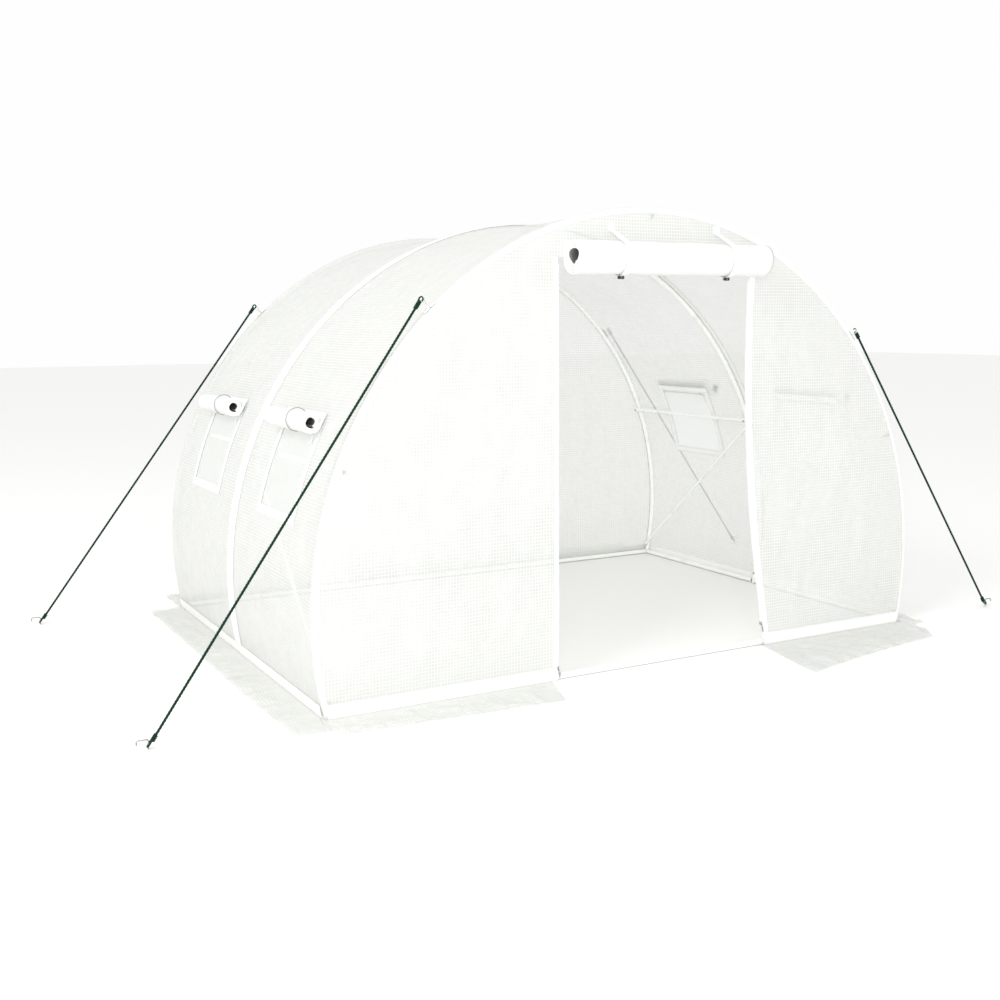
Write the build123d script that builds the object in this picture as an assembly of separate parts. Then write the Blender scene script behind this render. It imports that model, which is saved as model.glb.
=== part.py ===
from build123d import *
import math
import os

# A walk-in polytunnel greenhouse. Millimetres, +Z up, +Y towards the rear end.
# The origin is on the ground, midway between the front and the rear arch.

# Overall sizes, all on the centre lines of the tubes
foot_half_width = 1500.0
arch_height = 1970.0
tunnel_length = 2100.0
belly_height = 374.0
crown_half_angle = 30.0

# Tubes of the frame
arch_diameter = 25.0
rail_diameter = 25.0
purlin_diameter = 20.0
brace_diameter = 16.0
tube_wall = 1.5
purlin_height = 940.0
purlin_overhang = 10.0
brace_foot_height = 60.0
brace_head_below_purlin = 35.0

# Film cover and its reinforcing band
film = 2.0
fit_gap = 0.3
cut_margin = 10.0
band_width = 90.0
band_thickness = 1.5
band_foot_height = 10.0

# Windows, one in each bay on each side
window_width = 400.0
window_sill = 735.0
window_top = 1085.0
window_roll_diameter = 96.0
window_roll_bore = 40.0
window_roll_length = 470.0
window_roll_angle = 26.0

# Doorway in the front wall
door_left = -480.0
door_right_foot = 650.0
door_right_top = 530.0
door_slack = 61.0
door_head = 1765.0
zip_width = 8.0
zip_thickness = 3.0
zip_foot = 30.0
zip_below_head = 30.0

# The door, rolled up and held by two straps
door_roll_diameter = 147.0
door_roll_bore = 56.0
door_roll_left = -445.0
door_roll_right = 545.0
strap_places = (-215.0, 340.0)
strap_width = 32.0
strap_thickness = 1.5
strap_top = 1885.0
toggle_length = 30.0
toggle_diameter = 14.0

# Skirts that lie on the ground, measured from the feet, the doorway and the end walls
skirt_past_foot = 31.0
skirt_side_reach = 175.0
skirt_split = 85.0
side_taper = 15.0
side_rear_taper = 50.0
left_tab_reach = 130.0
right_tab_reach = 75.0
right_tab_width = 85.0
left_flap_reach = 200.0
left_flap_slope = 50.0
left_flap_root = 30.0
left_flap_end = 110.0
right_flap_root = 20.0
right_flap_tip = 120.0
right_flap_tip_reach = 458.0
right_flap_bow_place = 360.0
right_flap_bow_rise = 55.0
right_flap_shoulder_place = 91.0
right_flap_shoulder_rise = 170.0
right_flap_corner_reach = 165.0
rear_flap_reach = 458.0
rear_flap_corner_reach = 300.0

# Guy ropes, their sewn tabs and their pegs
rope_diameter = 11.0
rope_angle_left = 46.5
rope_angle_right = 40.4
rope_standoff_left = 50.0
rope_standoff_right = 35.0
rope_end_height = 16.0
tab_width = 24.0
tab_thickness = 3.0
tab_rope_gap = 0.6
tab_below_rope_end = 8.0
front_peg_past_foot = 670.0
rear_peg_past_foot = 730.0
peg_wire = 5.0
peg_height = 38.0
peg_hook_reach = 42.0
peg_hook_drop = 16.0
peg_bend = 7.0

# The arch's centre line: a belly arc each side and a crown arc that meets them smoothly.
# The belly arc's radius follows from the foot, the height and the crown's half angle.
lean = (1 - math.cos(math.radians(crown_half_angle))) / math.sin(math.radians(crown_half_angle))
belly_radius = arch_height - belly_height
for turn in range(60):
    belly_x = foot_half_width - math.sqrt(belly_radius**2 - belly_height**2)
    belly_radius = arch_height - belly_height - belly_x * lean
belly_end = 90.0 - crown_half_angle
crown_radius = belly_radius + belly_x / math.cos(math.radians(belly_end))
crown_centre = arch_height - crown_radius

half_length = tunnel_length / 2
arch_r = arch_diameter / 2
rail_r = rail_diameter / 2
cover_in = arch_r + fit_gap
cover_out = cover_in + film
wall_back = half_length + arch_r + fit_gap
wall_face = wall_back + film
bay_middles = {"front": -half_length / 2, "rear": half_length / 2}


def arc_of(angle):
    """Centre x, centre height and radius of the arc that holds this angle of the right half."""
    if angle <= belly_end:
        return belly_x, belly_height, belly_radius
    return 0.0, crown_centre, crown_radius


def on_arch(angle, offset=0.0):
    """Point of the right half of the arch, moved out by offset along its normal."""
    x, height, radius = arc_of(angle)
    turn = math.radians(angle)
    return x + (radius + offset) * math.cos(turn), height + (radius + offset) * math.sin(turn)


def angle_at(height, offset=0.0):
    """Angle at which the belly arc, moved out by offset, passes this height."""
    return math.degrees(math.asin((height - belly_height) / (belly_radius + offset)))


def half_curve(offset, low, high):
    """Edges of the right half, moved out by offset, from angle low up to angle high."""
    edges = []
    if low < belly_end:
        end = min(high, belly_end)
        edges.append(CenterArc((belly_x, belly_height), belly_radius + offset, low, end - low))
    if high > belly_end:
        start = max(low, belly_end)
        edges.append(CenterArc((0, crown_centre), crown_radius + offset, start, high - start))
    return edges


def shell_section(inner, outer, low_in, low_out, high):
    """Section of a curved sheet on the right half, between two offsets."""
    edges = half_curve(outer, low_out, high) + half_curve(inner, low_in, high)
    edges.append(Line(on_arch(low_in, inner), on_arch(low_out, outer)))
    edges.append(Line(on_arch(high, inner), on_arch(high, outer)))
    return make_face(Curve() + edges)


def end_outline(offset):
    """The whole end of the tunnel, from foot to foot, moved out by offset."""
    low = angle_at(0, offset)
    right = half_curve(offset, low, 90)
    floor_line = Line((0, 0), on_arch(low, offset))
    middle_line = Line((0, 0), on_arch(90, offset))
    half = make_face(Curve() + right + [floor_line, middle_line])
    return half + mirror(half, about=Plane.YZ)


def along_y(face, start, end):
    """Carry a section drawn in X and Z from y = start to y = end."""
    return extrude(Pos(0, start, 0) * (Plane.XZ * face), amount=end - start, dir=(0, 1, 0))


def left_of(part):
    """The same piece on the other side of the tunnel."""
    return mirror(part, about=Plane.YZ)


def straight_tube(start, end, diameter):
    """Hollow tube between two points."""
    path = Vector(*end) - Vector(*start)
    plane = Plane(origin=start, z_dir=path.normalized())
    ring = Circle(diameter / 2) - Circle(diameter / 2 - tube_wall)
    return extrude(plane * ring, amount=path.length)


def bent_tube(low, high, y):
    """Hollow arch tube that follows the right half of the arch between two angles."""
    pieces = []
    for start, end in ((low, min(high, belly_end)), (max(low, belly_end), high)):
        if end - start < 0.01:
            continue
        x, height, radius = arc_of((start + end) / 2)
        turn = math.radians(start)
        place = (x + radius * math.cos(turn), y, height + radius * math.sin(turn))
        plane = Plane(origin=place, x_dir=(0, 1, 0), z_dir=(-math.sin(turn), 0, math.cos(turn)))
        ring = plane * (Circle(arch_r) - Circle(arch_r - tube_wall))
        pieces.append(revolve(ring, axis=Axis((x, y, height), (0, -1, 0)), revolution_arc=end - start))
    return pieces[0] if len(pieces) == 1 else pieces[0] + pieces[1]


def save(name, *pieces):
    """Write one node, which may hold several solids that don't touch."""
    solids = [solid for piece in pieces for solid in piece.solids()]
    export_step(Compound(children=solids), f"parts/{name}.step")


os.makedirs("parts", exist_ok=True)

# Arches: a leg and a shoulder each side, butted at the side purlin and at the ridge
purlin_r = purlin_diameter / 2
purlin_in = arch_r + fit_gap + purlin_r
joint_angle = angle_at(purlin_height, -purlin_in)
joint_turn = math.degrees(fit_gap / 2 / belly_radius)
ridge_turn = math.degrees(fit_gap / 2 / crown_radius)
below_ground = Pos(0, 0, -arch_diameter) * Box(3 * foot_half_width, 3 * tunnel_length, 2 * arch_diameter)
for name, y in (("front_arch", -half_length), ("middle_arch", 0.0), ("rear_arch", half_length)):
    buried = angle_at(-arch_diameter)
    leg = bent_tube(buried, joint_angle - joint_turn, y) - below_ground
    shoulder = bent_tube(joint_angle + joint_turn, 90 - ridge_turn, y)
    save(name, leg, shoulder, left_of(leg), left_of(shoulder))

# Base rails: across both ends, and along each side from foot to foot
foot_in = on_arch(angle_at(0, -arch_r), -arch_r)[0] - fit_gap
for name, y in (("front_base_rail", -half_length), ("rear_base_rail", half_length)):
    save(name, straight_tube((-foot_in, y, rail_r), (foot_in, y, rail_r), rail_diameter))
rail_inset = arch_r + fit_gap
rail_front = straight_tube(
    (foot_half_width, rail_inset - half_length, rail_r),
    (foot_half_width, -rail_inset, rail_r),
    rail_diameter,
)
rail_rear = mirror(rail_front, about=Plane.XZ)
save("right_base_rail", rail_front, rail_rear)
save("left_base_rail", left_of(rail_front), left_of(rail_rear))

# Purlins: one under the ridge and one inside each side, bolted to all three arches
purlin_end = half_length + purlin_overhang
ridge_height = arch_height - purlin_in
purlin_x, purlin_z = on_arch(joint_angle, -purlin_in)
ridge_purlin = straight_tube((0, -purlin_end, ridge_height), (0, purlin_end, ridge_height), purlin_diameter)
side_purlin = straight_tube(
    (purlin_x, -purlin_end, purlin_z), (purlin_x, purlin_end, purlin_z), purlin_diameter
)
save("ridge_purlin", ridge_purlin)
save("right_purlin", side_purlin)
save("left_purlin", left_of(side_purlin))

# Braces: from an end arch's foot up to the middle arch, at the left front and the right rear
brace_in = arch_r + fit_gap + brace_diameter / 2
brace_foot = on_arch(angle_at(brace_foot_height, -brace_in), -brace_in)
brace_head = on_arch(angle_at(purlin_height - brace_head_below_purlin, -brace_in), -brace_in)
right_brace = straight_tube(
    (brace_foot[0], half_length, brace_foot[1]), (brace_head[0], 0, brace_head[1]), brace_diameter
)
save("right_brace", right_brace)
save("left_brace", right_brace.rotate(Axis.Z, 180))

# Cover: one sheet for each side of each bay, from the ground to the ridge, with a window cut in it
cover_section = shell_section(cover_in, cover_out, angle_at(0, cover_in), angle_at(0, cover_out), 90)
window_low = angle_at(window_sill, cover_in)
window_high = angle_at(window_top, cover_in)
mesh_turn = math.degrees(fit_gap / belly_radius)
cut_in = cover_in - cut_margin
cut_out = cover_out + cut_margin
hole_section = shell_section(cut_in, cut_out, window_low, window_low, window_high)
mesh_low = window_low + mesh_turn
mesh_section = shell_section(cover_in, cover_out, mesh_low, mesh_low, window_high - mesh_turn)
roll_r = window_roll_diameter / 2
roll_x, roll_z = on_arch(window_roll_angle, cover_out + fit_gap + roll_r)
roll_section = Pos(roll_x, roll_z) * (Circle(roll_r) - Circle(window_roll_bore / 2))
bays = {"front": (-wall_back, 0.0), "rear": (0.0, wall_back)}
for bay, (start, end) in bays.items():
    middle = bay_middles[bay]
    hole = along_y(hole_section, middle - window_width / 2, middle + window_width / 2)
    cover = along_y(cover_section, start, end) - hole
    mesh_half = window_width / 2 - fit_gap
    mesh = along_y(mesh_section, middle - mesh_half, middle + mesh_half)
    roll = along_y(roll_section, middle - window_roll_length / 2, middle + window_roll_length / 2)
    for side, place in (("right", lambda piece: piece), ("left", left_of)):
        save(f"{side}_{bay}_cover", place(cover))
        save(f"{side}_{bay}_mesh", place(mesh))
        save(f"{side}_{bay}_roll", place(roll))

# Reinforcing band over the middle arch, on the outside of the cover
band_in = cover_out + fit_gap
band_out = band_in + band_thickness
band_section = shell_section(
    band_in, band_out, angle_at(band_foot_height, band_in), angle_at(band_foot_height, band_out), 90
)
band_half = along_y(band_section, -band_width / 2, band_width / 2)
save("middle_band", band_half + left_of(band_half))

# End walls. The doorway's left edge is straight, and its right edge is a slack curve.
end_face = end_outline(cover_out)
save("rear_wall", along_y(end_face, wall_back, wall_face))
far = 2 * foot_half_width
tall = 2 * arch_height
door_foot = Vector(door_right_foot, 0)
door_corner = Vector(door_right_top, door_head)
door_chord = door_corner - door_foot
slack_way = Vector(-door_chord.Y, door_chord.X).normalized()


def door_edge(inset):
    """The doorway's right edge, moved into the opening by inset."""
    shift = slack_way * inset
    middle = (door_foot + door_corner) * 0.5 + slack_way * door_slack
    return ThreePointArc(door_foot + shift, middle + shift, door_corner + shift)


def beyond_edge(inset):
    """All of the wall's plane to the right of the doorway's right edge."""
    edge = door_edge(inset)
    low = edge.position_at(0)
    high = edge.position_at(1)
    rest = Polyline(high, (high.X, tall), (far, tall), (far, -tall), (low.X, -tall), low)
    return make_face(Curve() + [edge, rest])


left_region = Pos((door_left - far) / 2, 0) * Rectangle(far + door_left, 2 * tall)
right_region = beyond_edge(0)
head_region = Pos(0, door_head + tall) * Rectangle(2 * far, 2 * tall)
left_panel = end_face & left_region
right_panel = end_face & right_region
top_panel = (end_face & head_region) - left_region - right_region
save("front_left_panel", along_y(left_panel, -wall_face, -wall_back))
save("front_right_panel", along_y(right_panel, -wall_face, -wall_back))
save("front_top_panel", along_y(top_panel, -wall_face, -wall_back))

# Door zips: a narrow chain along each edge of the doorway, up to the rolled door
zip_length = door_head - zip_below_head - zip_foot
zip_middle = zip_foot + zip_length / 2
zip_span = Pos(0, zip_middle) * Rectangle(2 * far, zip_length)
left_zip = Pos(door_left + fit_gap + zip_width / 2, zip_middle) * Rectangle(zip_width, zip_length)
right_zip = (beyond_edge(fit_gap + zip_width) - beyond_edge(fit_gap)) & zip_span
zip_front = -wall_face + film / 2 - zip_thickness / 2
left_chain = along_y(left_zip, zip_front, zip_front + zip_thickness)
right_chain = along_y(right_zip, zip_front, zip_front + zip_thickness)
save("door_zips", left_chain, right_chain)

# The rolled door hangs against the wall's front face, under the top panel
door_roll_r = door_roll_diameter / 2
door_roll_y = -wall_face - fit_gap - door_roll_r
roll_ring = Circle(door_roll_r) - Circle(door_roll_bore / 2)
roll_plane = Plane(origin=(door_roll_left, door_roll_y, door_head), x_dir=(0, 1, 0), z_dir=(1, 0, 0))
save("door_roll", extrude(roll_plane * roll_ring, amount=door_roll_right - door_roll_left))

# Straps: from the wall above, over the front of the roll, and round under it to the panel's edge
strap_in = door_roll_r + fit_gap
strap_out = strap_in + strap_thickness
rise = strap_top - door_head
reach = math.hypot(strap_in, rise)
touch = math.atan2(rise, strap_in) + math.acos(strap_in / reach)
normal = Vector(math.cos(touch), math.sin(touch))
run = Vector(math.sin(touch), -math.cos(touch))
top_inside = Vector(strap_in, rise)
touch_inside = normal * strap_in
touch_outside = normal * strap_out
top_outside = touch_outside + run * ((strap_in - touch_outside.X) / run.X)
strap_start = math.degrees(touch)
strap_face = make_face(
    Curve()
    + [
        Line(top_inside, touch_inside),
        CenterArc((0, 0), strap_in, strap_start, 360 - strap_start),
        Line((strap_in, 0), (strap_out, 0)),
        CenterArc((0, 0), strap_out, strap_start, 360 - strap_start),
        Line(touch_outside, top_outside),
        Line(top_outside, top_inside),
    ]
)
straps = []
toggles = []
for place in strap_places:
    strap_plane = Plane(
        origin=(place - strap_width / 2, door_roll_y, door_head), x_dir=(0, 1, 0), z_dir=(1, 0, 0)
    )
    straps.append(extrude(strap_plane * strap_face, amount=strap_width))
    toggle_z = door_head - strap_out - fit_gap - toggle_diameter / 2
    toggle = Cylinder(toggle_diameter / 2, toggle_length, rotation=(0, 90, 0))
    toggle = fillet(toggle.edges(), toggle_diameter / 4)
    toggles.append(Pos(place, door_roll_y, toggle_z) * toggle)
save("door_straps", *straps)
save("door_toggles", *toggles)


# Skirts: flaps of the same film that lie flat on the ground, outside the walls
def flap(*edges):
    """A flat flap on the ground with this outline."""
    return extrude(make_face(Curve() + list(edges)), amount=film)


side_foot = on_arch(angle_at(film, cover_out), cover_out)[0] + fit_gap
skirt_corner = foot_half_width + skirt_past_foot
left_far = -wall_face - left_flap_reach
save(
    "front_left_skirt",
    flap(
        Polyline(
            (-skirt_corner, -wall_face),
            (-skirt_corner, left_far),
            (door_left - left_flap_end, left_far - left_flap_slope),
            (door_left - left_flap_root, -wall_face),
            close=True,
        )
    ),
)
root = (door_right_foot - right_flap_root, -wall_face)
tip = (door_right_foot - right_flap_tip, -wall_face - right_flap_tip_reach)
bow = (door_right_foot + right_flap_bow_place, tip[1] + right_flap_bow_rise)
shoulder_end = (skirt_corner - right_flap_shoulder_place, tip[1] + right_flap_shoulder_rise)
save(
    "front_right_skirt",
    flap(
        Line(root, tip),
        ThreePointArc(tip, bow, shoulder_end),
        Polyline(
            shoulder_end,
            (skirt_corner, -wall_face - right_flap_corner_reach),
            (skirt_corner, -wall_face),
            root,
        ),
    ),
)
rear_right = (skirt_corner, wall_face + rear_flap_corner_reach)
rear_left = (-skirt_corner, wall_face + rear_flap_corner_reach)
save(
    "rear_skirt",
    flap(
        Line((-skirt_corner, wall_face), (skirt_corner, wall_face)),
        Line((skirt_corner, wall_face), rear_right),
        ThreePointArc(rear_right, (0, wall_face + rear_flap_reach), rear_left),
        Line(rear_left, (-skirt_corner, wall_face)),
    ),
)
side_far = side_foot + skirt_side_reach
split_y = -skirt_split
tab_inner = skirt_corner + fit_gap
left_front_flap = flap(
    Polyline(
        (-side_foot, split_y - fit_gap),
        (-side_far, split_y - fit_gap),
        (-side_far + side_taper, -wall_face - left_tab_reach),
        (-tab_inner, -wall_face - left_tab_reach),
        (-tab_inner, -wall_face),
        (-side_foot, -wall_face),
        close=True,
    )
)
left_rear_flap = flap(
    Polyline(
        (-side_foot, split_y),
        (-side_far, split_y),
        (-side_far, wall_face - side_rear_taper),
        (-side_foot, wall_face),
        close=True,
    )
)
right_front_flap = flap(
    Polyline(
        (side_foot, split_y - fit_gap),
        (side_far, split_y - fit_gap),
        (side_far, -half_length / 2),
        (tab_inner + right_tab_width, -wall_face - right_tab_reach),
        (tab_inner, -wall_face - right_tab_reach),
        (tab_inner, -wall_face),
        (side_foot, -wall_face),
        close=True,
    )
)
save("left_front_skirt", left_front_flap)
save("left_rear_skirt", left_rear_flap)
save("right_front_skirt", right_front_flap)
save("right_rear_skirt", left_of(left_rear_flap))

# Guy ropes in the planes of the end arches, from a sewn tab on the cover down to a peg
rope_r = rope_diameter / 2
peg_r = peg_wire / 2


def rope_tab(angle, standoff, y):
    """The tab on the right side, from the cover at this angle of the arch out to the rope."""
    length = standoff - rope_r - tab_rope_gap - fit_gap
    x, height = on_arch(angle, cover_out + fit_gap + length / 2)
    return Pos(x, y, height) * (Rot(0, -angle, 0) * Box(length, tab_width, tab_thickness))


def guy_rope(angle, standoff, peg_distance, y):
    """The rope on the right side, straight from its tab to the near side of its peg."""
    peg_side = peg_distance - peg_r - fit_gap
    top = Vector(*on_arch(angle, cover_out + standoff))
    fall = (Vector(peg_side, rope_end_height) - top).normalized()
    end = Vector(peg_side + rope_r * fall.Y, rope_end_height)
    fall = (end - top).normalized()
    start = top - fall * tab_below_rope_end
    plane = Plane(origin=(start.X, y, start.Y), z_dir=(fall.X, 0, fall.Y))
    return extrude(plane * Circle(rope_r), amount=(end - start).length)


def ground_peg(peg_distance, y):
    """One bent wire: a shaft, an arm away from the tunnel and a short turned-down end."""
    foot = (peg_distance, y, 0)
    arm_height = peg_height - peg_r
    arm_end = peg_distance + peg_hook_reach
    path = FilletPolyline(
        foot,
        (peg_distance, y, arm_height),
        (arm_end, y, arm_height),
        (arm_end, y, arm_height - peg_hook_drop),
        radius=peg_bend,
    )
    return sweep(Plane(origin=foot, z_dir=(0, 0, 1)) * Circle(peg_r), path=path)


tabs = []
for end, y, past_foot in (
    ("front", -half_length, front_peg_past_foot),
    ("rear", half_length, rear_peg_past_foot),
):
    peg_distance = foot_half_width + past_foot
    for side, place, angle, standoff in (
        ("right", lambda piece: piece, rope_angle_right, rope_standoff_right),
        ("left", left_of, rope_angle_left, rope_standoff_left),
    ):
        tabs.append(place(rope_tab(angle, standoff, y)))
        save(f"guy_rope_{end}_{side}", place(guy_rope(angle, standoff, peg_distance, y)))
        save(f"peg_{end}_{side}", place(ground_peg(peg_distance, y)))
save("rope_tabs", *tabs)
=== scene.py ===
import math

import bpy
import numpy as np
from mathutils import Matrix, Vector


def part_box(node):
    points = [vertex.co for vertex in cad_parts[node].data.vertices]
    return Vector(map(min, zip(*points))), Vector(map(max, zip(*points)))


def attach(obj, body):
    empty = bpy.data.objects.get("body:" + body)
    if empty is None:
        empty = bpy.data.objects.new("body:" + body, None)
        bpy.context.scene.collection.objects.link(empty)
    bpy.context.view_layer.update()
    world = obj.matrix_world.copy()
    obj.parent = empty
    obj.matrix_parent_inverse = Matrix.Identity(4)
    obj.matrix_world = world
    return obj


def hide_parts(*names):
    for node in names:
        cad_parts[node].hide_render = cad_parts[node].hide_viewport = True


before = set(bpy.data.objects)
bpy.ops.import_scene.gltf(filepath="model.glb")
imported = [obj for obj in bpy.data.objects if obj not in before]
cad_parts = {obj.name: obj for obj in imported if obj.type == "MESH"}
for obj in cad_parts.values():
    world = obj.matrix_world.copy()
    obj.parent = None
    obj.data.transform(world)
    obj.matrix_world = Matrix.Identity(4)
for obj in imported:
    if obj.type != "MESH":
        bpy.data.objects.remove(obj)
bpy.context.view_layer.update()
scene = bpy.context.scene

# Camera: at eye height, in front of the tunnel's left half, turned towards the doorway.
# The eye point and angles were worked out from the tunnel's feet and arches in the photograph,
# and so was the sight, which is the focal length in frame widths.
eye = Vector((-3.0897, -5.3144, 1.5014))
turned_right = 0.50352
tipped_down = 0.08881
leaning = -0.00527
sight = 1.21163
frame_drop = -0.07

forward = Vector((math.sin(turned_right), math.cos(turned_right), 0))
ahead = forward * math.cos(tipped_down) - Vector((0, 0, math.sin(tipped_down)))
level = Vector((math.cos(turned_right), -math.sin(turned_right), 0))
upward = level.cross(ahead)
across = level * math.cos(leaning) + upward * math.sin(leaning)
upright = upward * math.cos(leaning) - level * math.sin(leaning)
lens = bpy.data.cameras.new("camera")
lens.sensor_width = 36.0
lens.lens = sight * lens.sensor_width
lens.shift_y = frame_drop
camera = bpy.data.objects.new("camera", lens)
scene.collection.objects.link(camera)
view_turn = Matrix((across, upright, -ahead)).transposed().to_quaternion()
camera.matrix_world = Matrix.LocRotScale(eye, view_turn, None)
scene.camera = camera
scene.view_settings.view_transform = "Standard"

# Floor and studio light: a wide pale sheet of paper under a bright even sky. A large soft lamp
# to the left keeps soft shading on the film's folds, and a weaker one in front, to the left of
# the doorway, shines in through it and keeps the tubes inside bright.
floor_half = 40.0
floor_drop = 0.0015
paper_white = "#f5f5f3"
sky_strength = 0.99
# Each lamp's width in metres, power in watts, place and aim.
soft_lamps = {
    "side_lamp": (3.5, 360.0, Vector((-8.0, -4.0, 7.0)), Vector((0.0, 0.0, 0.8))),
    "door_lamp": (2.0, 150.0, Vector((-3.4, -6.4, 2.0)), Vector((0.6, 0.2, 0.9))),
}


def linear(hex_colour):
    """An sRGB hex colour as linear red, green and blue with full alpha.
    Up to 0.04045 a channel is divided by 12.92, above it is ((c + 0.055) / 1.055) to the 2.4."""
    channels = [int(hex_colour[place : place + 2], 16) / 255 for place in (1, 3, 5)]
    return (*[c / 12.92 if c <= 0.04045 else ((c + 0.055) / 1.055) ** 2.4 for c in channels], 1.0)


def new_material(name):
    """A node material that holds only its output node."""
    material = bpy.data.materials.new(name)
    material.use_nodes = True
    material.node_tree.nodes.clear()
    material.node_tree.nodes.new("ShaderNodeOutputMaterial")
    return material


def add(material, kind, inputs=None, **settings):
    """Adds a shader node with its settings, joins or fills its inputs, and gives its outputs."""
    made = material.node_tree.nodes.new("ShaderNode" + kind)
    for name, value in settings.items():
        setattr(made, name, value)
    for name, value in (inputs or {}).items():
        if isinstance(value, bpy.types.NodeSocket):
            material.node_tree.links.new(value, made.inputs[name])
        else:
            made.inputs[name].default_value = value
    return made.outputs


def show(material, shader):
    """Joins the last shader to the material's output."""
    output = material.node_tree.nodes["Material Output"]
    material.node_tree.links.new(shader[0], output.inputs["Surface"])


def piece_of(name, material, parts):
    """One smooth-shaded mesh at the origin from parts, each (points n x 3, face arrays, uv n x 2).
    A face array has one row for each face, with as many columns as its faces have corners."""
    shift = np.cumsum([0] + [len(points) for points, _, _ in parts])
    points = np.concatenate([points for points, _, _ in parts])
    uv = np.concatenate([uv for _, _, uv in parts])
    face_sets = [faces + start for start, (_, sets, _) in zip(shift, parts) for faces in sets]
    corners = np.concatenate([faces.ravel() for faces in face_sets])
    sides = np.concatenate([np.full(len(faces), faces.shape[1]) for faces in face_sets])
    mesh = bpy.data.meshes.new(name)
    mesh.vertices.add(len(points))
    mesh.vertices.foreach_set("co", points.astype(np.float32).ravel())
    mesh.loops.add(len(corners))
    mesh.loops.foreach_set("vertex_index", corners.astype(np.int32))
    mesh.polygons.add(len(sides))
    mesh.polygons.foreach_set("loop_start", (np.cumsum(sides) - sides).astype(np.int32))
    mesh.polygons.foreach_set("use_smooth", np.ones(len(sides), bool))
    mesh.update(calc_edges=True)
    layer = mesh.uv_layers.new(name="cloth")
    layer.data.foreach_set("uv", uv[corners].astype(np.float32).ravel())
    mesh.materials.append(material)
    piece = bpy.data.objects.new(name, mesh)
    scene.collection.objects.link(piece)
    return piece


paper = new_material("paper_floor")
show(paper, add(paper, "BsdfPrincipled", {"Base Color": linear(paper_white), "Roughness": 0.8}))
floor_corners = np.array([[-1, -1, 0], [1, -1, 0], [1, 1, 0], [-1, 1, 0]]) * floor_half
floor_part = (floor_corners - [0, 0, floor_drop], [np.array([[0, 1, 2, 3]])], floor_corners[:, :2])
piece_of("floor", paper, [floor_part])

sky = bpy.data.worlds.new("studio_sky")
sky.use_nodes = True
sky.node_tree.nodes["Background"].inputs["Color"].default_value = (1.0, 1.0, 1.0, 1.0)
sky.node_tree.nodes["Background"].inputs["Strength"].default_value = sky_strength
scene.world = sky
for name, (size, power, place, aim) in soft_lamps.items():
    light = bpy.data.lights.new(name, "AREA")
    light.size = size
    light.energy = power
    lamp = bpy.data.objects.new(name, light)
    scene.collection.objects.link(lamp)
    lamp.matrix_world = Matrix.LocRotScale(place, (aim - place).to_track_quat("-Z", "Y"), None)

# Frame tubes: round steel tube, bent for the arches and straight for the rails, purlins and
# braces, powder-coated satin white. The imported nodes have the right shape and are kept.
tube_white = "#f7f8f5"
tube_rubbed = "#dcdeda"
peel_size = 0.0025
rub_size = 0.11

tube_paint = new_material("powder_coated_steel")
tube_place = add(tube_paint, "TexCoord")["Object"]
# Powder coat cures with an orange peel under 1 mm wide, drawn here as 2.5 mm so that it shows.
peel = add(tube_paint, "TexNoise", {"Vector": tube_place, "Scale": 1 / peel_size, "Detail": 2.0})[0]
peeled = add(tube_paint, "Bump", {"Height": peel, "Strength": 0.3, "Distance": 0.0002})[0]
# Handling leaves faint grey rubs about a hand apart.
rub_look = {"Vector": tube_place, "Scale": 1 / rub_size, "Detail": 5.0, "Roughness": 0.65}
rubs = add(tube_paint, "TexNoise", rub_look)[0]
rubbed = add(tube_paint, "MapRange", {"Value": rubs, "From Min": 0.55, "From Max": 0.8})[0]
tube_mix = {0: rubbed, 6: linear(tube_white), 7: linear(tube_rubbed)}
tube_colour = add(tube_paint, "Mix", tube_mix, data_type="RGBA")[2]
tube_look = {"Base Color": tube_colour, "Roughness": 0.32, "IOR": 1.5, "Normal": peeled}
show(tube_paint, add(tube_paint, "BsdfPrincipled", tube_look))
for name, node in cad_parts.items():
    if name.endswith(("_arch", "_rail", "_purlin", "_brace")):
        node.data.materials.clear()
        node.data.materials.append(tube_paint)

# Side covers: one wide length of reinforced film for each bay, drawn over the arches from the
# ground on the left to the ground on the right. It hangs a little slack between the arches and
# is turned round the end arch, where the end wall is sewn to it. Two windows are cut in it.
foot_half_width = 1.5
belly_height = 0.374
belly_end = 60.0
arch_low, arch_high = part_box("front_arch")
tube_r = round((arch_high.y - arch_low.y) / 2, 4)
half_length = round(-(arch_high.y + arch_low.y) / 2, 4)
arch_height = round(arch_high.z - tube_r, 4)
film_out = tube_r + 0.0013
foot_level = 0.001
slack_top = 0.020
slack_side = 0.009
crease_height = 0.0022
window_half = 0.2
window_sill = 0.735
window_top = 1.085
window_calm = 0.04
cover_step = 0.0125
wave_count = 14
tallest_hill = 5.3

# The belly arc starts at the foot, and the crown arc takes over smoothly at 60 degrees.
lean = (1 - math.cos(math.radians(90 - belly_end))) / math.sin(math.radians(90 - belly_end))
belly_radius = arch_height - belly_height
for turn in range(60):
    belly_x = foot_half_width - math.sqrt(belly_radius**2 - belly_height**2)
    belly_radius = arch_height - belly_height - belly_x * lean
crown_radius = belly_radius + belly_x / math.cos(math.radians(belly_end))
crown_centre = arch_height - crown_radius


def arch_angle(height, out=0.0):
    """Degrees up the belly arc, moved outwards by out, at which it passes this height: the
    arcsine of the height above the arc's centre over its radius."""
    return np.degrees(np.arcsin((height - belly_height) / (belly_radius + out)))


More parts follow.
